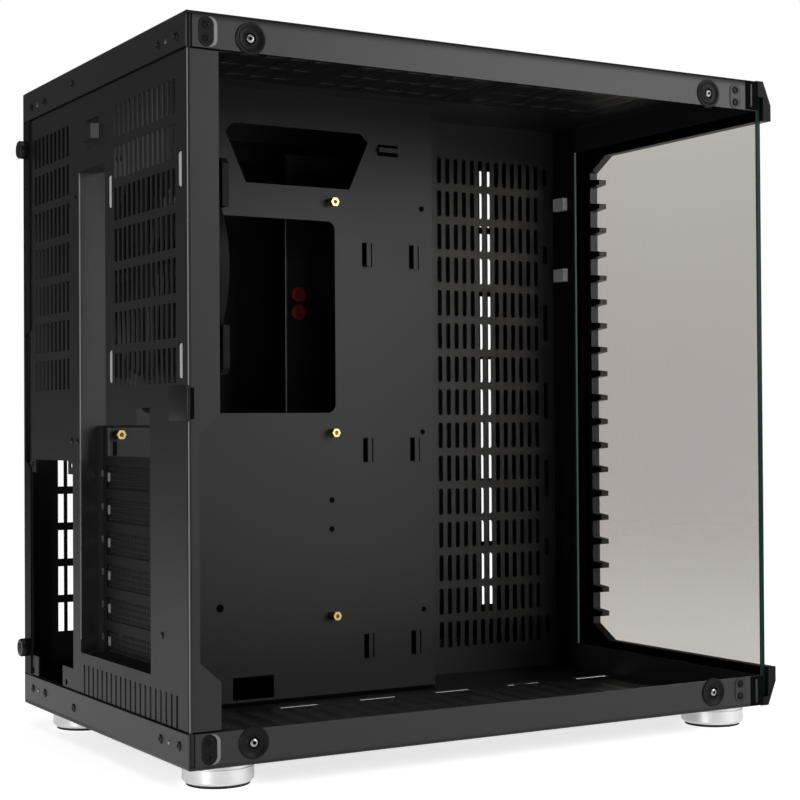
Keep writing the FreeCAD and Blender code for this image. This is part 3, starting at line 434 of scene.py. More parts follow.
def softened(mesh, width):
    """The mesh with its edges rounded."""
    shape = bmesh.new()
    shape.from_mesh(mesh)
    sharp = [edge for edge in shape.edges if edge.calc_face_angle(0) > 0.5]
    bmesh.ops.bevel(shape, geom=sharp, offset=width / 1000, segments=2, profile=0.5, affect="EDGES")
    shape.to_mesh(mesh)
    shape.free()
    return mesh


outer = [(26.0, 0.1), (3.6, 0.1), (1.9, 0.7), (1.1, 1.5)]
inner = [(2.0, 2.0), (3.6, 1.1), (26.0, 1.1)]
soft_coat = coat(
    "soft_coat",
    (0.006, 0.006, 0.006),
    (0.011, 0.011, 0.011),
    0.46,
    fine_grain,
    coat_peel,
    Specular_IOR_Level=0.27,
)
latch_mesh = softened(strip_mesh("slot_latch", outer + inner, 189.5, 208.5), 0.25)
keep("slot_latch", latch_mesh, soft_coat)
# Dead black for the strips of painted shade in gaps and recesses, and for the joint lines and press nuts.
matte_black = coat(
    "matte_black",
    (0.0008, 0.0008, 0.0008),
    (0.002, 0.002, 0.002),
    0.8,
    fine_grain,
    0.00003,
    Specular_IOR_Level=0.05,
)


def frame_loop(a0, a1, b0, b1):
    """Corners of a rectangle between two limits each way."""
    return [(a0, b0), (a1, b0), (a1, b1), (a0, b1)]


latch_gap_shape = strip_mesh("latch_buffer", frame_loop(-0.1, 0.5, 2.1, 4.3), 190.5, 207.5)
keep("latch_buffer", softened(latch_gap_shape, 0.15), matte_black)


# Painted highlights on folded edges.
# Narrow pale beads along the near corner's fold and the slot pocket's far fold paint the bright line of light
# on each bend.
def joined(name, meshes):
    """One mesh of several."""
    whole = bmesh.new()
    for mesh in meshes:
        whole.from_mesh(mesh)
    return plain(name, whole)


corner_bead = [(1.35, 1.95), (1.4, 1.5), (1.6, 1.35), (1.95, 1.35), (1.95, 1.95)]
pocket_bead = [(168.4, 1.5), (168.4, 0.85), (168.75, 0.7), (169.1, 0.85), (169.1, 1.5)]
beads = [strip_mesh("bead", corner_bead, 21.0, 189.0), strip_mesh("bead", corner_bead, 209.0, 392.0)]
beads.append(strip_mesh("bead", pocket_bead, 54.0, 345.0))
keep("fold_beads", joined("fold_beads", beads), painted_highlight)


# Painted shade at the rails' ends.
# A black strip in the recess between each rail and the pane paints its shade, where the pan's turned-in lip
# shows as a bar.
# The joint where the rear sheet goes under the rails is drawn as a thin black line.
end_recess_shade, lip = frame_loop(-0.3, 0.4, 399.4, 410.4), frame_loop(-0.6, 0.2, 403.4, 405.0)
rail_spans = [(0.6, 19.8), (393.2, 412.4)]
joints = [frame_loop(3.0, 262.0, 0.5, 1.05), frame_loop(0.5, 1.05, 3.0, 20.0)]
joint_lines = [strip_mesh("joint", path, low, low + 0.9) for path in joints for low in (20.0, 392.1)]
keep("rail_joint_lines", joined("rail_joint_lines", joint_lines), matte_black)
end_recess_shades = [softened(strip_mesh("end_recess_shade", end_recess_shade, low, high), 0.2) for low, high in rail_spans]
keep("rail_end_seals", joined("rail_end_seals", end_recess_shades), matte_black)
lips = [softened(strip_mesh("lip", lip, low + 2.0, high - 2.0), 0.25) for low, high in rail_spans]
keep("rail_end_lips", joined("rail_end_lips", lips), black_coat)


# Fine filter sheets inside the floor and the roof.
# Thin punched steel laid over the long vents, spot-welded to the pans and coated with them.
def sheet_tree():
    """Geometry Nodes: closed loops and a grid of round-ended slots, filled and given a thickness."""
    tree = bpy.data.node_groups.new("slotted_sheet", "GeometryNodeTree")
    sockets = tree.interface
    for title, kind in (
        ("Loops", "Geometry"),
        ("Centre", "Vector"),
        ("Columns", "Int"),
        ("Rows", "Int"),
        ("Column Span", "Float"),
        ("Row Span", "Float"),
        ("Slot Width", "Float"),
        ("Slot Height", "Float"),
        ("Corners", "Int"),
        ("Thickness", "Float"),
        ("Finish", "Material"),
    ):
        sockets.new_socket(title, in_out="INPUT", socket_type="NodeSocket" + kind)
    sockets.new_socket("Made", in_out="OUTPUT", socket_type="NodeSocketGeometry")
    given = tree.nodes.new("NodeGroupInput")
    loops = tree.nodes.new("GeometryNodeMeshToCurve")
    grid = tree.nodes.new("GeometryNodeMeshGrid")
    slot = tree.nodes.new("GeometryNodeCurvePrimitiveQuadrilateral")
    ends = tree.nodes.new("GeometryNodeFilletCurve")
    ends.mode = "POLY"
    ends.inputs["Limit Radius"].default_value = True
    half = tree.nodes.new("ShaderNodeMath")
    half.operation = "MULTIPLY"
    half.inputs[1].default_value = 0.49
    scatter = tree.nodes.new("GeometryNodeInstanceOnPoints")
    moved = tree.nodes.new("GeometryNodeTransform")
    outlines = tree.nodes.new("GeometryNodeRealizeInstances")
    joined_curves = tree.nodes.new("GeometryNodeJoinGeometry")
    filled = tree.nodes.new("GeometryNodeFillCurve")
    raised = tree.nodes.new("GeometryNodeExtrudeMesh")
    raised.inputs["Individual"].default_value = False
    up = tree.nodes.new("ShaderNodeCombineXYZ")
    up.inputs["Z"].default_value = 1.0
    turned = tree.nodes.new("GeometryNodeFlipFaces")
    both = tree.nodes.new("GeometryNodeJoinGeometry")
    welded = tree.nodes.new("GeometryNodeMergeByDistance")
    welded.inputs["Distance"].default_value = 0.0005
    real = tree.nodes.new("GeometryNodeRealizeInstances")
    paint = tree.nodes.new("GeometryNodeSetMaterial")
    made = tree.nodes.new("NodeGroupOutput")
    for source, target in (
        (given.outputs["Loops"], loops.inputs["Mesh"]),
        (given.outputs["Columns"], grid.inputs["Vertices X"]),
        (given.outputs["Rows"], grid.inputs["Vertices Y"]),
        (given.outputs["Column Span"], grid.inputs["Size X"]),
        (given.outputs["Row Span"], grid.inputs["Size Y"]),
        (given.outputs["Slot Width"], slot.inputs["Width"]),
        (given.outputs["Slot Height"], slot.inputs["Height"]),
        (slot.outputs["Curve"], ends.inputs["Curve"]),
        (given.outputs["Corners"], ends.inputs["Count"]),
        (given.outputs["Slot Width"], half.inputs[0]),
        (half.outputs[0], ends.inputs["Radius"]),
        (grid.outputs["Mesh"], scatter.inputs["Points"]),
        (ends.outputs["Curve"], scatter.inputs["Instance"]),
        (scatter.outputs["Instances"], moved.inputs["Geometry"]),
        (given.outputs["Centre"], moved.inputs["Translation"]),
        (moved.outputs["Geometry"], outlines.inputs["Geometry"]),
        (loops.outputs["Curve"], joined_curves.inputs["Geometry"]),
        (outlines.outputs["Geometry"], joined_curves.inputs["Geometry"]),
        (joined_curves.outputs["Geometry"], filled.inputs["Curve"]),
        (filled.outputs["Mesh"], raised.inputs["Mesh"]),
        (up.outputs["Vector"], raised.inputs["Offset"]),
        (given.outputs["Thickness"], raised.inputs["Offset Scale"]),
        (filled.outputs["Mesh"], turned.inputs["Mesh"]),
        (raised.outputs["Mesh"], both.inputs["Geometry"]),
        (turned.outputs["Mesh"], both.inputs["Geometry"]),
        (both.outputs["Geometry"], welded.inputs["Geometry"]),
        (welded.outputs["Geometry"], real.inputs["Geometry"]),
        (real.outputs["Geometry"], paint.inputs["Geometry"]),
        (given.outputs["Finish"], paint.inputs["Material"]),
        (paint.outputs["Geometry"], made.inputs["Made"]),
    ):
        tree.links.new(source, target)
    return tree


slotted_sheet = sheet_tree()


def sheet_mesh(name, loops, stand, material, **values):
    """Slotted sheet drawn in millimetres on its own plane and stood in place by a function."""
    points, edges = [], []
    for loop in loops:
        first = len(points)
        points += [(a, b, 0) for a, b in loop]
        edges += [(first + i, first + (i + 1) % len(loop)) for i in range(len(loop))]
    wire = bpy.data.meshes.new(name)
    wire.from_pydata(points, edges, [])
    holder = bpy.data.objects.new(name + "_loops", wire)
    bpy.context.scene.collection.objects.link(holder)
    named = {key.replace("_", " "): value for key, value in values.items()}
    mesh = grown(holder, slotted_sheet, {"Finish": material, **named})
    for vertex in mesh.vertices:
        vertex.co = stand(*vertex.co)
    corrected = bmesh.new()
    corrected.from_mesh(mesh)
    bmesh.ops.recalc_face_normals(corrected, faces=corrected.faces)
    corrected.to_mesh(mesh)
    corrected.free()
    return mesh


for name, level, finish in (("floor_filter", 1.05, pan_coat), ("roof_filter", 411.35, soft_coat)):
    mesh = sheet_mesh(
        name,
        [frame_loop(4.0, 153.5, 14.0, 395.0)],
        lambda a, b, c, level=level: spot(a, b, level + c),
        finish,
        Centre=(78.5, 204.5, 0.0),
        Columns=37,
        Rows=22,
        Column_Span=144.0,
        Row_Span=353.0,
        Slot_Width=2.2,
        Slot_Height=13.5,
        Corners=2,
        Thickness=0.6,
    )
    keep(name, mesh, finish)


# Recessed slot plate, its six perforated covers and their screws.
# The plate is folded steel. Each cover is a thin perforated strip with a tab screwed to the ledge; a pale
# patch at its far end is a painted highlight where the end of its opening catches the light.
def past(axis, start):
    """Gloss that begins past one plane of the case."""
    return lambda place: place.maths("GREATER_THAN", place.axis(axis), start)


def part_glazed(name, glaze, grain_scale, gloss):
    """A dull black skin with a gloss layer on part of it."""
    material, place, link = new_finish(name, Specular_IOR_Level=0.1, Coat_Roughness=gloss)
    grain = place.noise(grain_scale, 2.0)
    link(
        Base_Color=grain.mixed((0.005, 0.005, 0.0052), (0.011, 0.011, 0.0113)),
        Roughness=0.46 + (grain - 0.5) * 0.14,
        Coat_Weight=glaze(place),
        Normal=grain.bump(0.00005, 0.5),
    )
    return material


def pocket_glaze(place):
    """Gloss above the slots and on the pocket's far wall."""
    return place.maths("MAXIMUM", past(2, 0.205)(place), past(0, 0.0232)(place))


pocket_coat = part_glazed("pocket_coat", pocket_glaze, fine_grain, 0.42)
dress(pocket_coat, "slot_plate")
cover_half, cover_nose = 9.2, 6.0
cover_rows = [155.3 - 20.32 * i for i in range(6)]
cover_parts = []
tab = [(47.2, 3.0), (48.0, 3.0), (48.0, 14.0), (49.0, 14.0), (49.0, 14.8), (47.6, 14.8), (47.2, 14.4)]
for row in cover_rows:
    strip = [(49.0, row - cover_half), (156.0, row - cover_half), (160.0, row - cover_nose)]
    strip += [(160.0, row + cover_nose), (156.0, row + cover_half), (49.0, row + cover_half)]
    cover_parts.append(
        sheet_mesh(
            "cover_strip",
            [strip],
            lambda a, b, c: spot(a, 14.0 + c, b),
            pocket_coat,
            Centre=(106.0, row, 0.0),
            Columns=25,
            Rows=4,
            Column_Span=91.2,
            Row_Span=10.5,
            Slot_Width=2.5,
            Slot_Height=2.5,
            Corners=2,
            Thickness=0.8,
        )
    )
    cover_parts.append(strip_mesh("cover_tab", tab, row - cover_half, row + cover_half))
covers = keep("perforated_covers", joined("perforated_covers", cover_parts), pocket_coat)
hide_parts(*["slot_cover_%d" % number for number in range(1, 7)])
end_highlight = frame_loop(150.8, 154.2, 13.4, 14.1)
end_highlights = [softened(strip_mesh("end_highlight", end_highlight, row - 2.8, row + 2.8), 0.25) for row in cover_rows]
keep("cover_end_tabs", joined("cover_end_tabs", end_highlights), painted_highlight)
cover_screw_spots = [spot(47.2, 8.2, row) for row in cover_rows]
cover_screw = screw_mesh("cover_screw", 3.3, 1.8, 1.9, 1.1)
repeated("cover_screws", cover_screw, cover_screw_spots, outwards, screw_black)


# Board tray between the chambers, with its lanced tie loops, and the brass standoffs screwed into it.
# Coated steel with press nuts for shorter boards; a thin black strip along its foot is painted shade in the gap
# above the floor.
# The standoffs are turned from hexagonal brass bar.
dress(powder_coat("tray_coat", 0.37), "motherboard_tray")
tray_face = 178.0
foot_shade = strip_mesh("tray_foot_seal", frame_loop(tray_face - 0.9, tray_face + 0.05, 22.0, 265.0), 1.05, 3.4)
keep("tray_foot_seal", softened(foot_shade, 0.2), matte_black)
small_nuts = [(257.0, 56.9), (257.0, 181.4), (257.0, 338.8), (184.2, 135.5), (184.0, 115.7)]
nut_profile = [(0, 0.02), (1.5, 0.02), (1.5, 0.3), (2.2, 0.35), (2.7, 0.1), (2.7, -0.2), (0, -0.2)]
for name, places, scale in (("small_press_nuts", small_nuts, 0.72), ("large_press_nut", [(100.2, 66.5)], 1.0)):
    nut = turned_mesh(name, [(radius * scale, height) for radius, height in nut_profile], 18)
    repeated(name, nut, [spot(tray_face, v, w) for v, w in places], outwards, matte_black)
brass, place, link = new_finish("turned_brass", Metallic=1.0)
rings = place.stretched(2600, 60, 60).noise(1.0, 2.0)
link(
    Base_Color=rings.mixed((0.6, 0.43, 0.16), (0.9, 0.74, 0.38)),
    Roughness=0.2 + rings * 0.2,
    Normal=rings.bump(0.00005, 0.4),
)
dress(brass, "standoffs")


# Slotted sheet for a row of fans beside the glass front.
# Laser-cut steel with thirteen columns of round-ended vents and oblong mounting slots at both sides.
def oblong_loop(a, b, across, tall):
    """Outline of a round-ended upright slot."""
    points = []
    for i in range(16):
        turn = math.tau * (i + 0.5) / 16
        lift = (tall - across) / 2 * (1 if math.sin(turn) > 0 else -1)
        points.append((a + across / 2 * math.cos(turn), b + lift + across / 2 * math.sin(turn)))
    return points


# About twice as light as the other black sheets: painted light for a sheet the lamps barely reach.
lightened_sheet_coat = coat("lightened_sheet_coat", (0.015, 0.015, 0.0153), (0.023, 0.023, 0.0235), 0.46, fine_grain, coat_peel)
fan_sheet_face, fan_row_v, fan_row_w, fan_hole = 228.4, 347.0, 204.5, 52.5
side_loops = [frame_loop(265.0, 407.0, 1.0, 412.0)]
for side in (-fan_hole, fan_hole):
    for offset, tall in ((0, 29.0), (60, 29.0), (112.5, 14.5), (172.5, 14.5)):
        for lift in {offset, -offset}:
            side_loops.append(oblong_loop(fan_row_v + side, fan_row_w + lift, 4.6, tall))
side_sheet = sheet_mesh(
    "side_fan_sheet",
    side_loops,
    lambda a, b, c: spot(fan_sheet_face + c, a, b),
    lightened_sheet_coat,
    Centre=(fan_row_v, 203.15, 0.0),
    Columns=13,
    Rows=15,
    Column_Span=87.6,
    Row_Span=345.8,
    Slot_Width=3.7,
    Slot_Height=19.5,
    Corners=4,
    Thickness=1.0,
)
side_piece = keep("side_fan_sheet", side_sheet, lightened_sheet_coat)
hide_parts("side_fan_panel")


# Far side sheet, drive bracket with red grommets, and the front column.
# Coated steel; the grommets are soft rubber rings that take the drive screws.
far_coat = part_glazed("far_sheet_coat", past(0, 0.1368), fine_grain, 0.42)
dress(far_coat, "right_side_panel", "drive_bracket", "front_column")
hem = [(235.7, 180.3), (235.7, 179.1), (236.1, 178.7), (236.9, 178.7), (237.3, 179.1), (237.3, 180.3)]
keep("bracket_hem", strip_mesh("bracket_hem", hem, 60.0, 338.0), black_coat)
red_rubber = coat(
    "red_rubber", (0.10, 0.004, 0.004), (0.15, 0.007, 0.007), 0.6, 1200.0, 0.00006, Specular_IOR_Level=0.25
)
bush = [(0, -0.4), (5.5, -0.4), (5.7, 0.4), (5.2, 1.3), (4.0, 1.7), (2.6, 1.4), (2.2, 0.6), (0, 0.5)]
bush_spots = [spot(236.0, 189.6, w) for w in (267.4, 280.3)]
grommet = turned_mesh("drive_grommet", bush, 28)
repeated("drive_grommets", grommet, bush_spots, outwards, red_rubber)


# Knurled thumbscrews that hold the far side sheet.
# Turned steel heads with a black oxide finish, knurled round the rim, with a cross recess in the end.
def knurled_mesh(name, radius, height, ridges):
    """Round head standing on the XY plane, with a ridged rim and a shallow hollow in its end."""
    knurl = 0.32
    steps = [(0, 0.93, 0), (0.6, 1.0, knurl), (height - 0.7, 1.0, knurl)]
    steps += [(height, 0.9, 0), (height, 0.55, 0), (height - 0.8, 0.5, 0)]
    rings = []
    for lift, share, cut in steps:
        ring = []
        for i in range(ridges * 2):
            turn = math.tau * i / (ridges * 2)
            reach = radius * share - cut * (i % 2)
            ring.append(Vector((reach * math.cos(turn), reach * math.sin(turn), lift)) / 1000)
        rings.append(ring)
    return lofted(name, rings)


thumb_spots = [spot(268.7, 0, w) for w in (38.5, 373.6)]
thumb_head = knurled_mesh("thumbscrew", 6.0, 5.6, 36)
thumbs = repeated("knurled_thumbscrews", thumb_head, thumb_spots, rearwards, screw_black)
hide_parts("thumbscrews")
thumb_cross = screw_mesh("thumb_cross", 2.8, 0.9, 1.9, 0.8)
thumb_tops = [place + Vector((0, 0.0047, 0)) for place in thumb_spots]
repeated("thumbscrew_drives", thumb_cross, thumb_tops, rearwards, screw_black)


# Front bezel and its clips.
# The bezel is one black moulding with a fine spark-eroded grain; the clips are white nylon.
bezel_plastic = part_glazed("moulded_black", past(0, -0.1335), 2200.0, 0.32)
dress(bezel_plastic, "bezel")
nylon = coat("white_nylon", (0.84, 0.84, 0.83), (0.94, 0.94, 0.93), 0.4, 700.0, 0.00004)
dress(nylon, "bezel_clips")


# Tempered front pane.
# Smoked float glass, its ground edges showing the green of the glass, held by the bezel's rebate.
pane_low, pane_high, ground = spot(3.0, 415.0, 6.0), spot(206.0, 411.0, 402.0), 0.0006
pane_shape = bmesh.new()
bmesh.ops.create_cube(pane_shape, size=1.0)
for vertex in pane_shape.verts:
    vertex.co = Vector([pane_low[i] if vertex.co[i] < 0 else pane_high[i] for i in range(3)])
bmesh.ops.bevel(pane_shape, geom=pane_shape.edges[:], offset=ground, segments=2, profile=0.5, affect="EDGES")
bmesh.ops.recalc_face_normals(pane_shape, faces=pane_shape.faces)
for face in pane_shape.faces:
    face.material_index = 0 if abs(face.normal.y) > 0.99 else 2 if face.normal.x > 0.5 else 1
pane_mesh = plain("glass_pane", pane_shape)
smoked, place, link = new_finish("smoked_glass", IOR=1.5, Transmission_Weight=1.0)
waves = place.noise(6.0, 1.0)
height = place.axis(2) - 0.2
tint = height * height * 24.0 + (waves - 0.5) * 0.3
link(
    Base_Color=tint.mixed((0.45, 0.42, 0.4), (0.52, 0.495, 0.46)),
    Roughness=place.noise(400.0, 2.0) * 0.006,
    Normal=waves.bump(0.00002, 0.1),
)
green_edge, place, link = new_finish("glass_edge", IOR=1.5, Specular_IOR_Level=0.06)
grind = place.stretched(900, 900, 40).noise(1.0, 2.0)
link(
    Base_Color=grind.mixed((0.005, 0.018, 0.015), (0.014, 0.04, 0.034)),
    Roughness=0.12 + grind * 0.2,
    Normal=grind.bump(0.00005, 0.3),
)
# The pane's far edge glows: painted light standing for the bright line along that edge.
glowing_far_edge, place, link = new_finish("glass_edge_painted_glow", IOR=1.5, Emission_Strength=0.25)
glow = place.stretched(900, 900, 30).noise(1.0, 2.0)
link(
    Base_Color=glow.mixed((0.1, 0.2, 0.17), (0.2, 0.34, 0.29)),
    Emission_Color=glow.mixed((0.1, 0.24, 0.2), (0.4, 0.62, 0.54)),
    Roughness=0.2 + glow * 0.2,
    Normal=glow.bump(0.00005, 0.3),
)
for finish in (smoked, green_edge, glowing_far_edge):
    pane_mesh.materials.append(finish)
pane = keep("glass_pane", pane_mesh, None, smooth=10)
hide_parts("front_glass")


# Feet under the four corners.
# Aluminium discs turned bright, with a bevel and a groove, over thin rubber pads.
bright, place, link = new_finish("turned_aluminium", Metallic=1.0)
lathe = place.stretched(20, 20, 5200).noise(1.0, 3.0)
smudge = place.noise(60.0, 3.0)
link(
    Base_Color=lathe.mixed((0.84, 0.84, 0.84), (0.97, 0.97, 0.965)),
    Roughness=0.24 + lathe * 0.14 + smudge * 0.1,
    Normal=lathe.bump(0.00004, 0.3),
)
foot = [(0, -12.5), (18.6, -12.5), (19.2, -12.1), (20.3, -10.8), (20.3, -3.6), (20.0, -3.3), (20.0, -2.9)]
foot += [(20.3, -2.6), (20.3, -0.5), (19.9, 0.0), (0, 0.0)]
upwards = (0, 0, 1)
foot_spots = [spot(u, v, 0) for u in (30.0, 245.0) for v in (31.0, 392.0)]
turned_foot = turned_mesh("turned_foot", foot, 72)
foot_piece = repeated("turned_feet", turned_foot, foot_spots, upwards, bright)
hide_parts("feet")
rubber = coat("pad_rubber", (0.008, 0.008, 0.008), (0.016, 0.016, 0.016), 0.75, 1100.0, 0.00008)
dress(rubber, "foot_pads")


# Rear fan: housing, and a rotor with swept blades on a domed hub.
# Glass-filled nylon mouldings; the rotor turns on its shaft in the housing's bearing.
fan_plastic = coat(
    "fan_nylon", (0.004, 0.004, 0.004), (0.009, 0.009, 0.0095), 0.4, 1800.0, 0.00004, Specular_IOR_Level=0.1
)
dress(fan_plastic, "rear_fan_frame")
fan_u, fan_w = 62.9, 274.9
fan_stand = Matrix.Translation(spot(fan_u, 0, fan_w)) @ Matrix.Rotation(math.pi / 2, 4, "X")


def rotor_mesh(name, blades):
    """Domed hub, shaft and swept blades about the fan's axis, in millimetres from the rear plane."""
    hub = [(0, 8.1), (1.5, 8.1), (1.5, 23.9), (18.0, 23.9), (18.0, 8.2)]
    hub += [(20.0, 8.2), (20.0, 24.4), (19.0, 25.6), (16.5, 26.0), (0, 26.0)]
    core = turned_mesh("hub", hub, 56)
    core.transform(fan_stand)
    whole = bmesh.new()
    whole.from_mesh(core)
    for blade in range(blades):
        sides = []
        for face in (-0.75, 0.75):
            grid = []
            for j in range(7):
                share = j / 6
                radius = 19.3 + 36.6 * share
                sweep = 0.42 * share**1.6
                chord = 0.86 - 0.3 * share
                line = []
                for k in range(7):
                    across = k / 6 - 0.5
                    bow = across * across
                    angle = math.tau * blade / blades + sweep + chord * across
                    level = 16.7 - 15.0 * across - 2.2 * (1 - 4 * bow) + face * (1 - 1.6 * bow) * 0.8
                    u, w = fan_u + radius * math.cos(angle), fan_w + radius * math.sin(angle)
                    line.append(whole.verts.new(spot(u, level, w)))
                grid.append(line)
            sides.append(grid)
        back, front = sides
        for j in range(6):
            for k in range(6):
                whole.faces.new((back[j][k], back[j + 1][k], back[j + 1][k + 1], back[j][k + 1]))
                whole.faces.new((front[j][k], front[j][k + 1], front[j + 1][k + 1], front[j + 1][k]))
            for k in (0, 6):
                whole.faces.new((back[j][k], front[j][k], front[j + 1][k], back[j + 1][k]))
        for j in (0, 6):
            for k in range(6):
                whole.faces.new((back[j][k], front[j][k], front[j][k + 1], back[j][k + 1]))
    bmesh.ops.recalc_face_normals(whole, faces=whole.faces)
    return plain(name, whole)


# A pale ring on the housing's rounded lip is a painted highlight along its rim.
fan_lip = [(57.9, 26.5), (59.3, 26.5), (59.3, 27.1), (58.6, 27.5), (57.9, 27.1), (57.9, 26.5)]
lip_highlight_mesh = turned_mesh("fan_lip", fan_lip, 96)
lip_highlight_mesh.transform(fan_stand)
keep("fan_lip", lip_highlight_mesh, painted_highlight)
rotor = keep("swept_rotor", rotor_mesh("swept_rotor", 7), fan_plastic, "fan_rotor")
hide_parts("rear_fan_rotor")
# Pale fills in the rear sheet's four fan screw slots are painted light, the bright look of those slots.
painted_slot_light = coat("painted_slot_light", (0.42, 0.42, 0.41), (0.58, 0.58, 0.57), 0.55, 900.0, 0.00005)
slot_light_fill = oblong_mesh("fan_slot_light_fill", 19.4, 4.2, 0.5, 0.15)
corners = (-fan_hole, fan_hole)
slot_light_spots = [spot(fan_u + a, 1.75, fan_w + b) for a in corners for b in corners]
repeated("fan_slot_pads", slot_light_fill, slot_light_spots, rearwards, painted_slot_light, spin=0.0)


# Sockets and switches in the roof.
# Moulded housing with steel socket shells, blue tongues, a plated jack ring and two spring buttons.
dress(bezel_plastic, "io_housing")


def capped_mesh(name, u, v, across, along, low, high):
    """Button with rounded edges and a shallow dish in its top."""
    sides, corner = 32, 1.6
    steps = [(low, 0.0), (high - 0.5, 0.0), (high - 0.15, 0.15), (high, 0.5), (high, 1.6), (high - 0.35, 2.6)]
    rings = []
    for lift, inset in steps:
        reach, shift = max(corner - inset, 0.05), max(inset - 1.55, 0)
        ring = []
        for i in range(sides):
            turn = math.tau * (i + 0.5) / sides
            a = math.copysign(across / 2 - corner - shift, math.cos(turn)) + reach * math.cos(turn)
            b = math.copysign(along / 2 - corner - shift, math.sin(turn)) + reach * math.sin(turn)
            ring.append(spot(u + a, v + b, lift))
        rings.append(ring)
    return lofted(name, rings)


socket_row = 252.0
for node, body, v, along in (
    ("power_button", "power_switch", 378.0, 16.0),
    ("reset_button", "reset_switch", 358.0, 8.0),
):
    cap_mesh = capped_mesh(node + "_cap", socket_row, v, 12.0, along, 404.0, 413.0)
    cap = keep(node + "_cap", cap_mesh, bezel_plastic, body)
    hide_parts(node)
sections = [frame_loop(252.4, 254.6, v - 5.6, v + 5.6) for v in (338.0, 318.0)]
tongues = [strip_mesh("tongue", section, 402.0, 411.2) for section in sections]
tongue_blue = coat("tongue_plastic", (0.01, 0.03, 0.16), (0.016, 0.045, 0.22), 0.4, fine_grain, 0.00003)
keep("socket_tongues", softened(joined("socket_tongues", tongues), 0.2), tongue_blue)
socket_steel = coat("socket_plate", (0.4, 0.4, 0.41), (0.62, 0.62, 0.63), 0.28, 900.0, 0.00002, Metallic=1.0)
dress(socket_steel, "usb_ports")
jack_ring = [(0, -0.6), (3.4, -0.6), (3.4, 0.25), (3.1, 0.5), (2.2, 0.5), (1.85, 0.2), (1.85, -0.4), (0, -0.4)]
jack_spots = [spot(socket_row, 299.0, 413.0)]
jack_mesh = turned_mesh("jack_ring", jack_ring, 32)
repeated("jack_ring", jack_mesh, jack_spots, upwards, socket_steel)


# Studio round the case, apart from the object.
# A pale floor under a white surround keeps the shadow; soft lamps and a card light the coats, and the camera
# stands at the rear corner of the open side.
floor_mesh = bpy.data.meshes.new("studio_floor")
floor_mesh.from_pydata([(-8, -8, 0), (8, -8, 0), (8, 8, 0), (-8, 8, 0)], [], [(0, 1, 2, 3)])
floor = bpy.data.objects.new("studio_floor", floor_mesh)
bpy.context.scene.collection.objects.link(floor)
floor_paint, place, link = new_finish("studio_floor", Base_Color=(0.8, 0.8, 0.8, 1), Roughness=0.8)
floor_mesh.materials.append(floor_paint)


def seen_rays(tree, mirrored, scattered):
    """1 for what the camera sees straight or through glass, and less for what faces mirror or scatter."""
    rays = tree.nodes.new("ShaderNodeLightPath")
    both = Finish(rays.outputs["Is Camera Ray"]) + Finish(rays.outputs["Is Transmission Ray"])
    straight = both.maths("MINIMUM", both, 1.0)
    other = Finish(rays.outputs["Is Glossy Ray"]) * (mirrored - scattered) + scattered
    return straight + (1.0 - straight) * other


floor_tree = floor_paint.node_tree
far = place.node("ShaderNodeVectorMath", {"operation": "LENGTH"}, 1, Vector=place)
fade = far.node("ShaderNodeMapRange", Value=far, i1=0.9, i2=3.0)
# The floor's glow rises from a quarter to half a metre out: painted light that whitens the floor beyond the
# case's close shadow.
ring = far.node("ShaderNodeMapRange", Value=far, i1=0.22, i2=0.5)
link(
    Emission_Color=ring.mixed((0.8, 0.8, 0.8), (0.88, 0.88, 0.88)),
    Emission_Strength=seen_rays(floor_tree, 0.58, 0.0) * 0.92,
)
clear = floor_tree.nodes.new("ShaderNodeBsdfTransparent")
faded = floor_tree.nodes.new("ShaderNodeMixShader")
for source, target in (
    (fade.socket, faded.inputs["Fac"]),
    (floor_tree.nodes["Principled BSDF"].outputs["BSDF"], faded.inputs[1]),
    (clear.outputs["BSDF"], faded.inputs[2]),
    (faded.outputs["Shader"], floor_tree.nodes["Material Output"].inputs["Surface"]),
):
    floor_tree.links.new(source, target)
world = bpy.data.worlds.new("studio")
world.use_nodes = True
bpy.context.scene.world = world
background = world.node_tree.nodes["Background"]
background.inputs["Color"].default_value = (1, 1, 1, 1)
world.node_tree.links.new(seen_rays(world.node_tree, 0.11, 0.2).socket, background.inputs["Strength"])


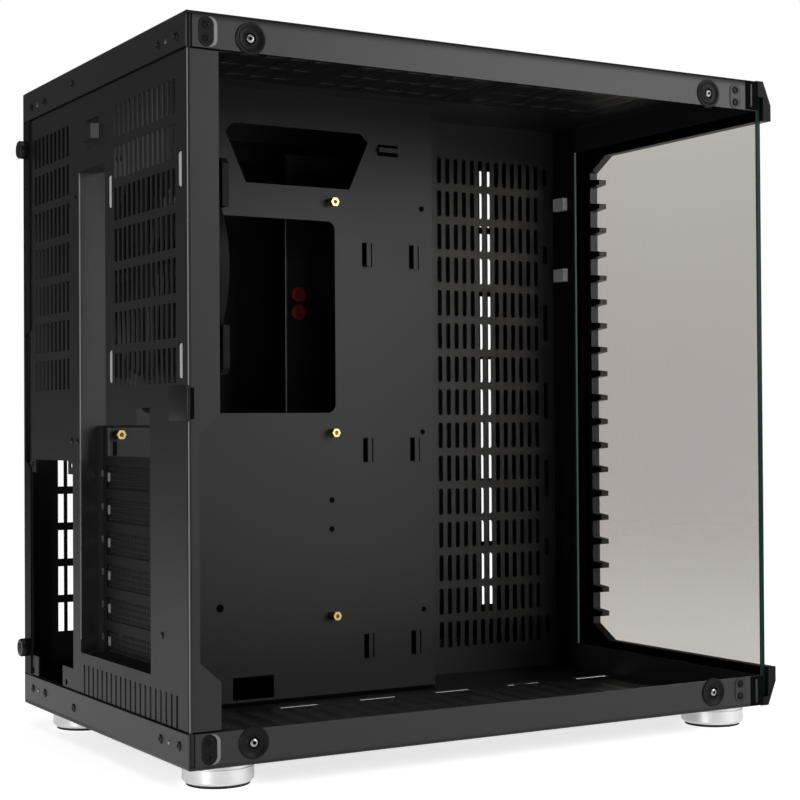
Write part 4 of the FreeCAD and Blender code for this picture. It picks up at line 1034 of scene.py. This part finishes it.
def lamp(name, place, aim, wide, tall, power):
    """Soft rectangular lamp turned to a point."""
    light = bpy.data.lights.new(name, "AREA")
    light.shape = "RECTANGLE"
    light.size = wide
    light.size_y = tall
    light.energy = power
    held = bpy.data.objects.new(name, light)
    bpy.context.scene.collection.objects.link(held)
    held.location = place
    held.rotation_euler = (Vector(aim) - Vector(place)).to_track_quat("-Z", "Y").to_euler()


lamp("front_left", (-1.15, -0.8, 0.7), (0, 0.05, 0.2), 0.9, 0.9, 9)
lamp("rear_strip", (-0.9, 1.7, 0.4), (-0.1, 0.2, 0.2), 0.1, 1.2, 13)
lamp("top", (-0.3, 0.2, 2.4), (0, 0, 0.2), 1.8, 1.8, 14)

card_mesh = bpy.data.meshes.new("mirror_card")
card_mesh.from_pydata([(-0.7, -0.5, 0), (0.7, -0.5, 0), (0.7, 0.5, 0), (-0.7, 0.5, 0)], [], [(0, 1, 2, 3)])
card = bpy.data.objects.new("mirror_card", card_mesh)
bpy.context.scene.collection.objects.link(card)
card.location = (-1.45, -1.15, 0.3)
card.rotation_euler = Vector((0.79, 0.61, 0)).to_track_quat("Z", "Y").to_euler()
card.visible_camera = card.visible_diffuse = card.visible_transmission = card.visible_shadow = False
card_paint = new_finish("mirror_card", Emission_Strength=0.35, Emission_Color=(1, 1, 1, 1))[0]
card_mesh.materials.append(card_paint)

yaw, pitch, roll = math.radians(30.526), math.radians(0.7975), math.radians(-0.355)
ahead = Vector((math.cos(yaw) * math.cos(pitch), -math.sin(yaw) * math.cos(pitch), math.sin(pitch)))
level = ahead.cross(Vector((0, 0, 1))).normalized()
upright = level.cross(ahead)
right = level * math.cos(roll) + upright * math.sin(roll)
above = upright * math.cos(roll) - level * math.sin(roll)
camera = bpy.data.objects.new("camera", bpy.data.cameras.new("camera"))
bpy.context.scene.collection.objects.link(camera)
camera.data.lens = 77.53
camera.data.sensor_width = 36.0
stance = Matrix((right, above, -ahead)).transposed().to_4x4()
camera.matrix_world = Matrix.Translation(spot(-860.07, -373.54, 187.11)) @ stance
bpy.context.scene.camera = camera
bpy.context.scene.view_settings.view_transform = "Standard"
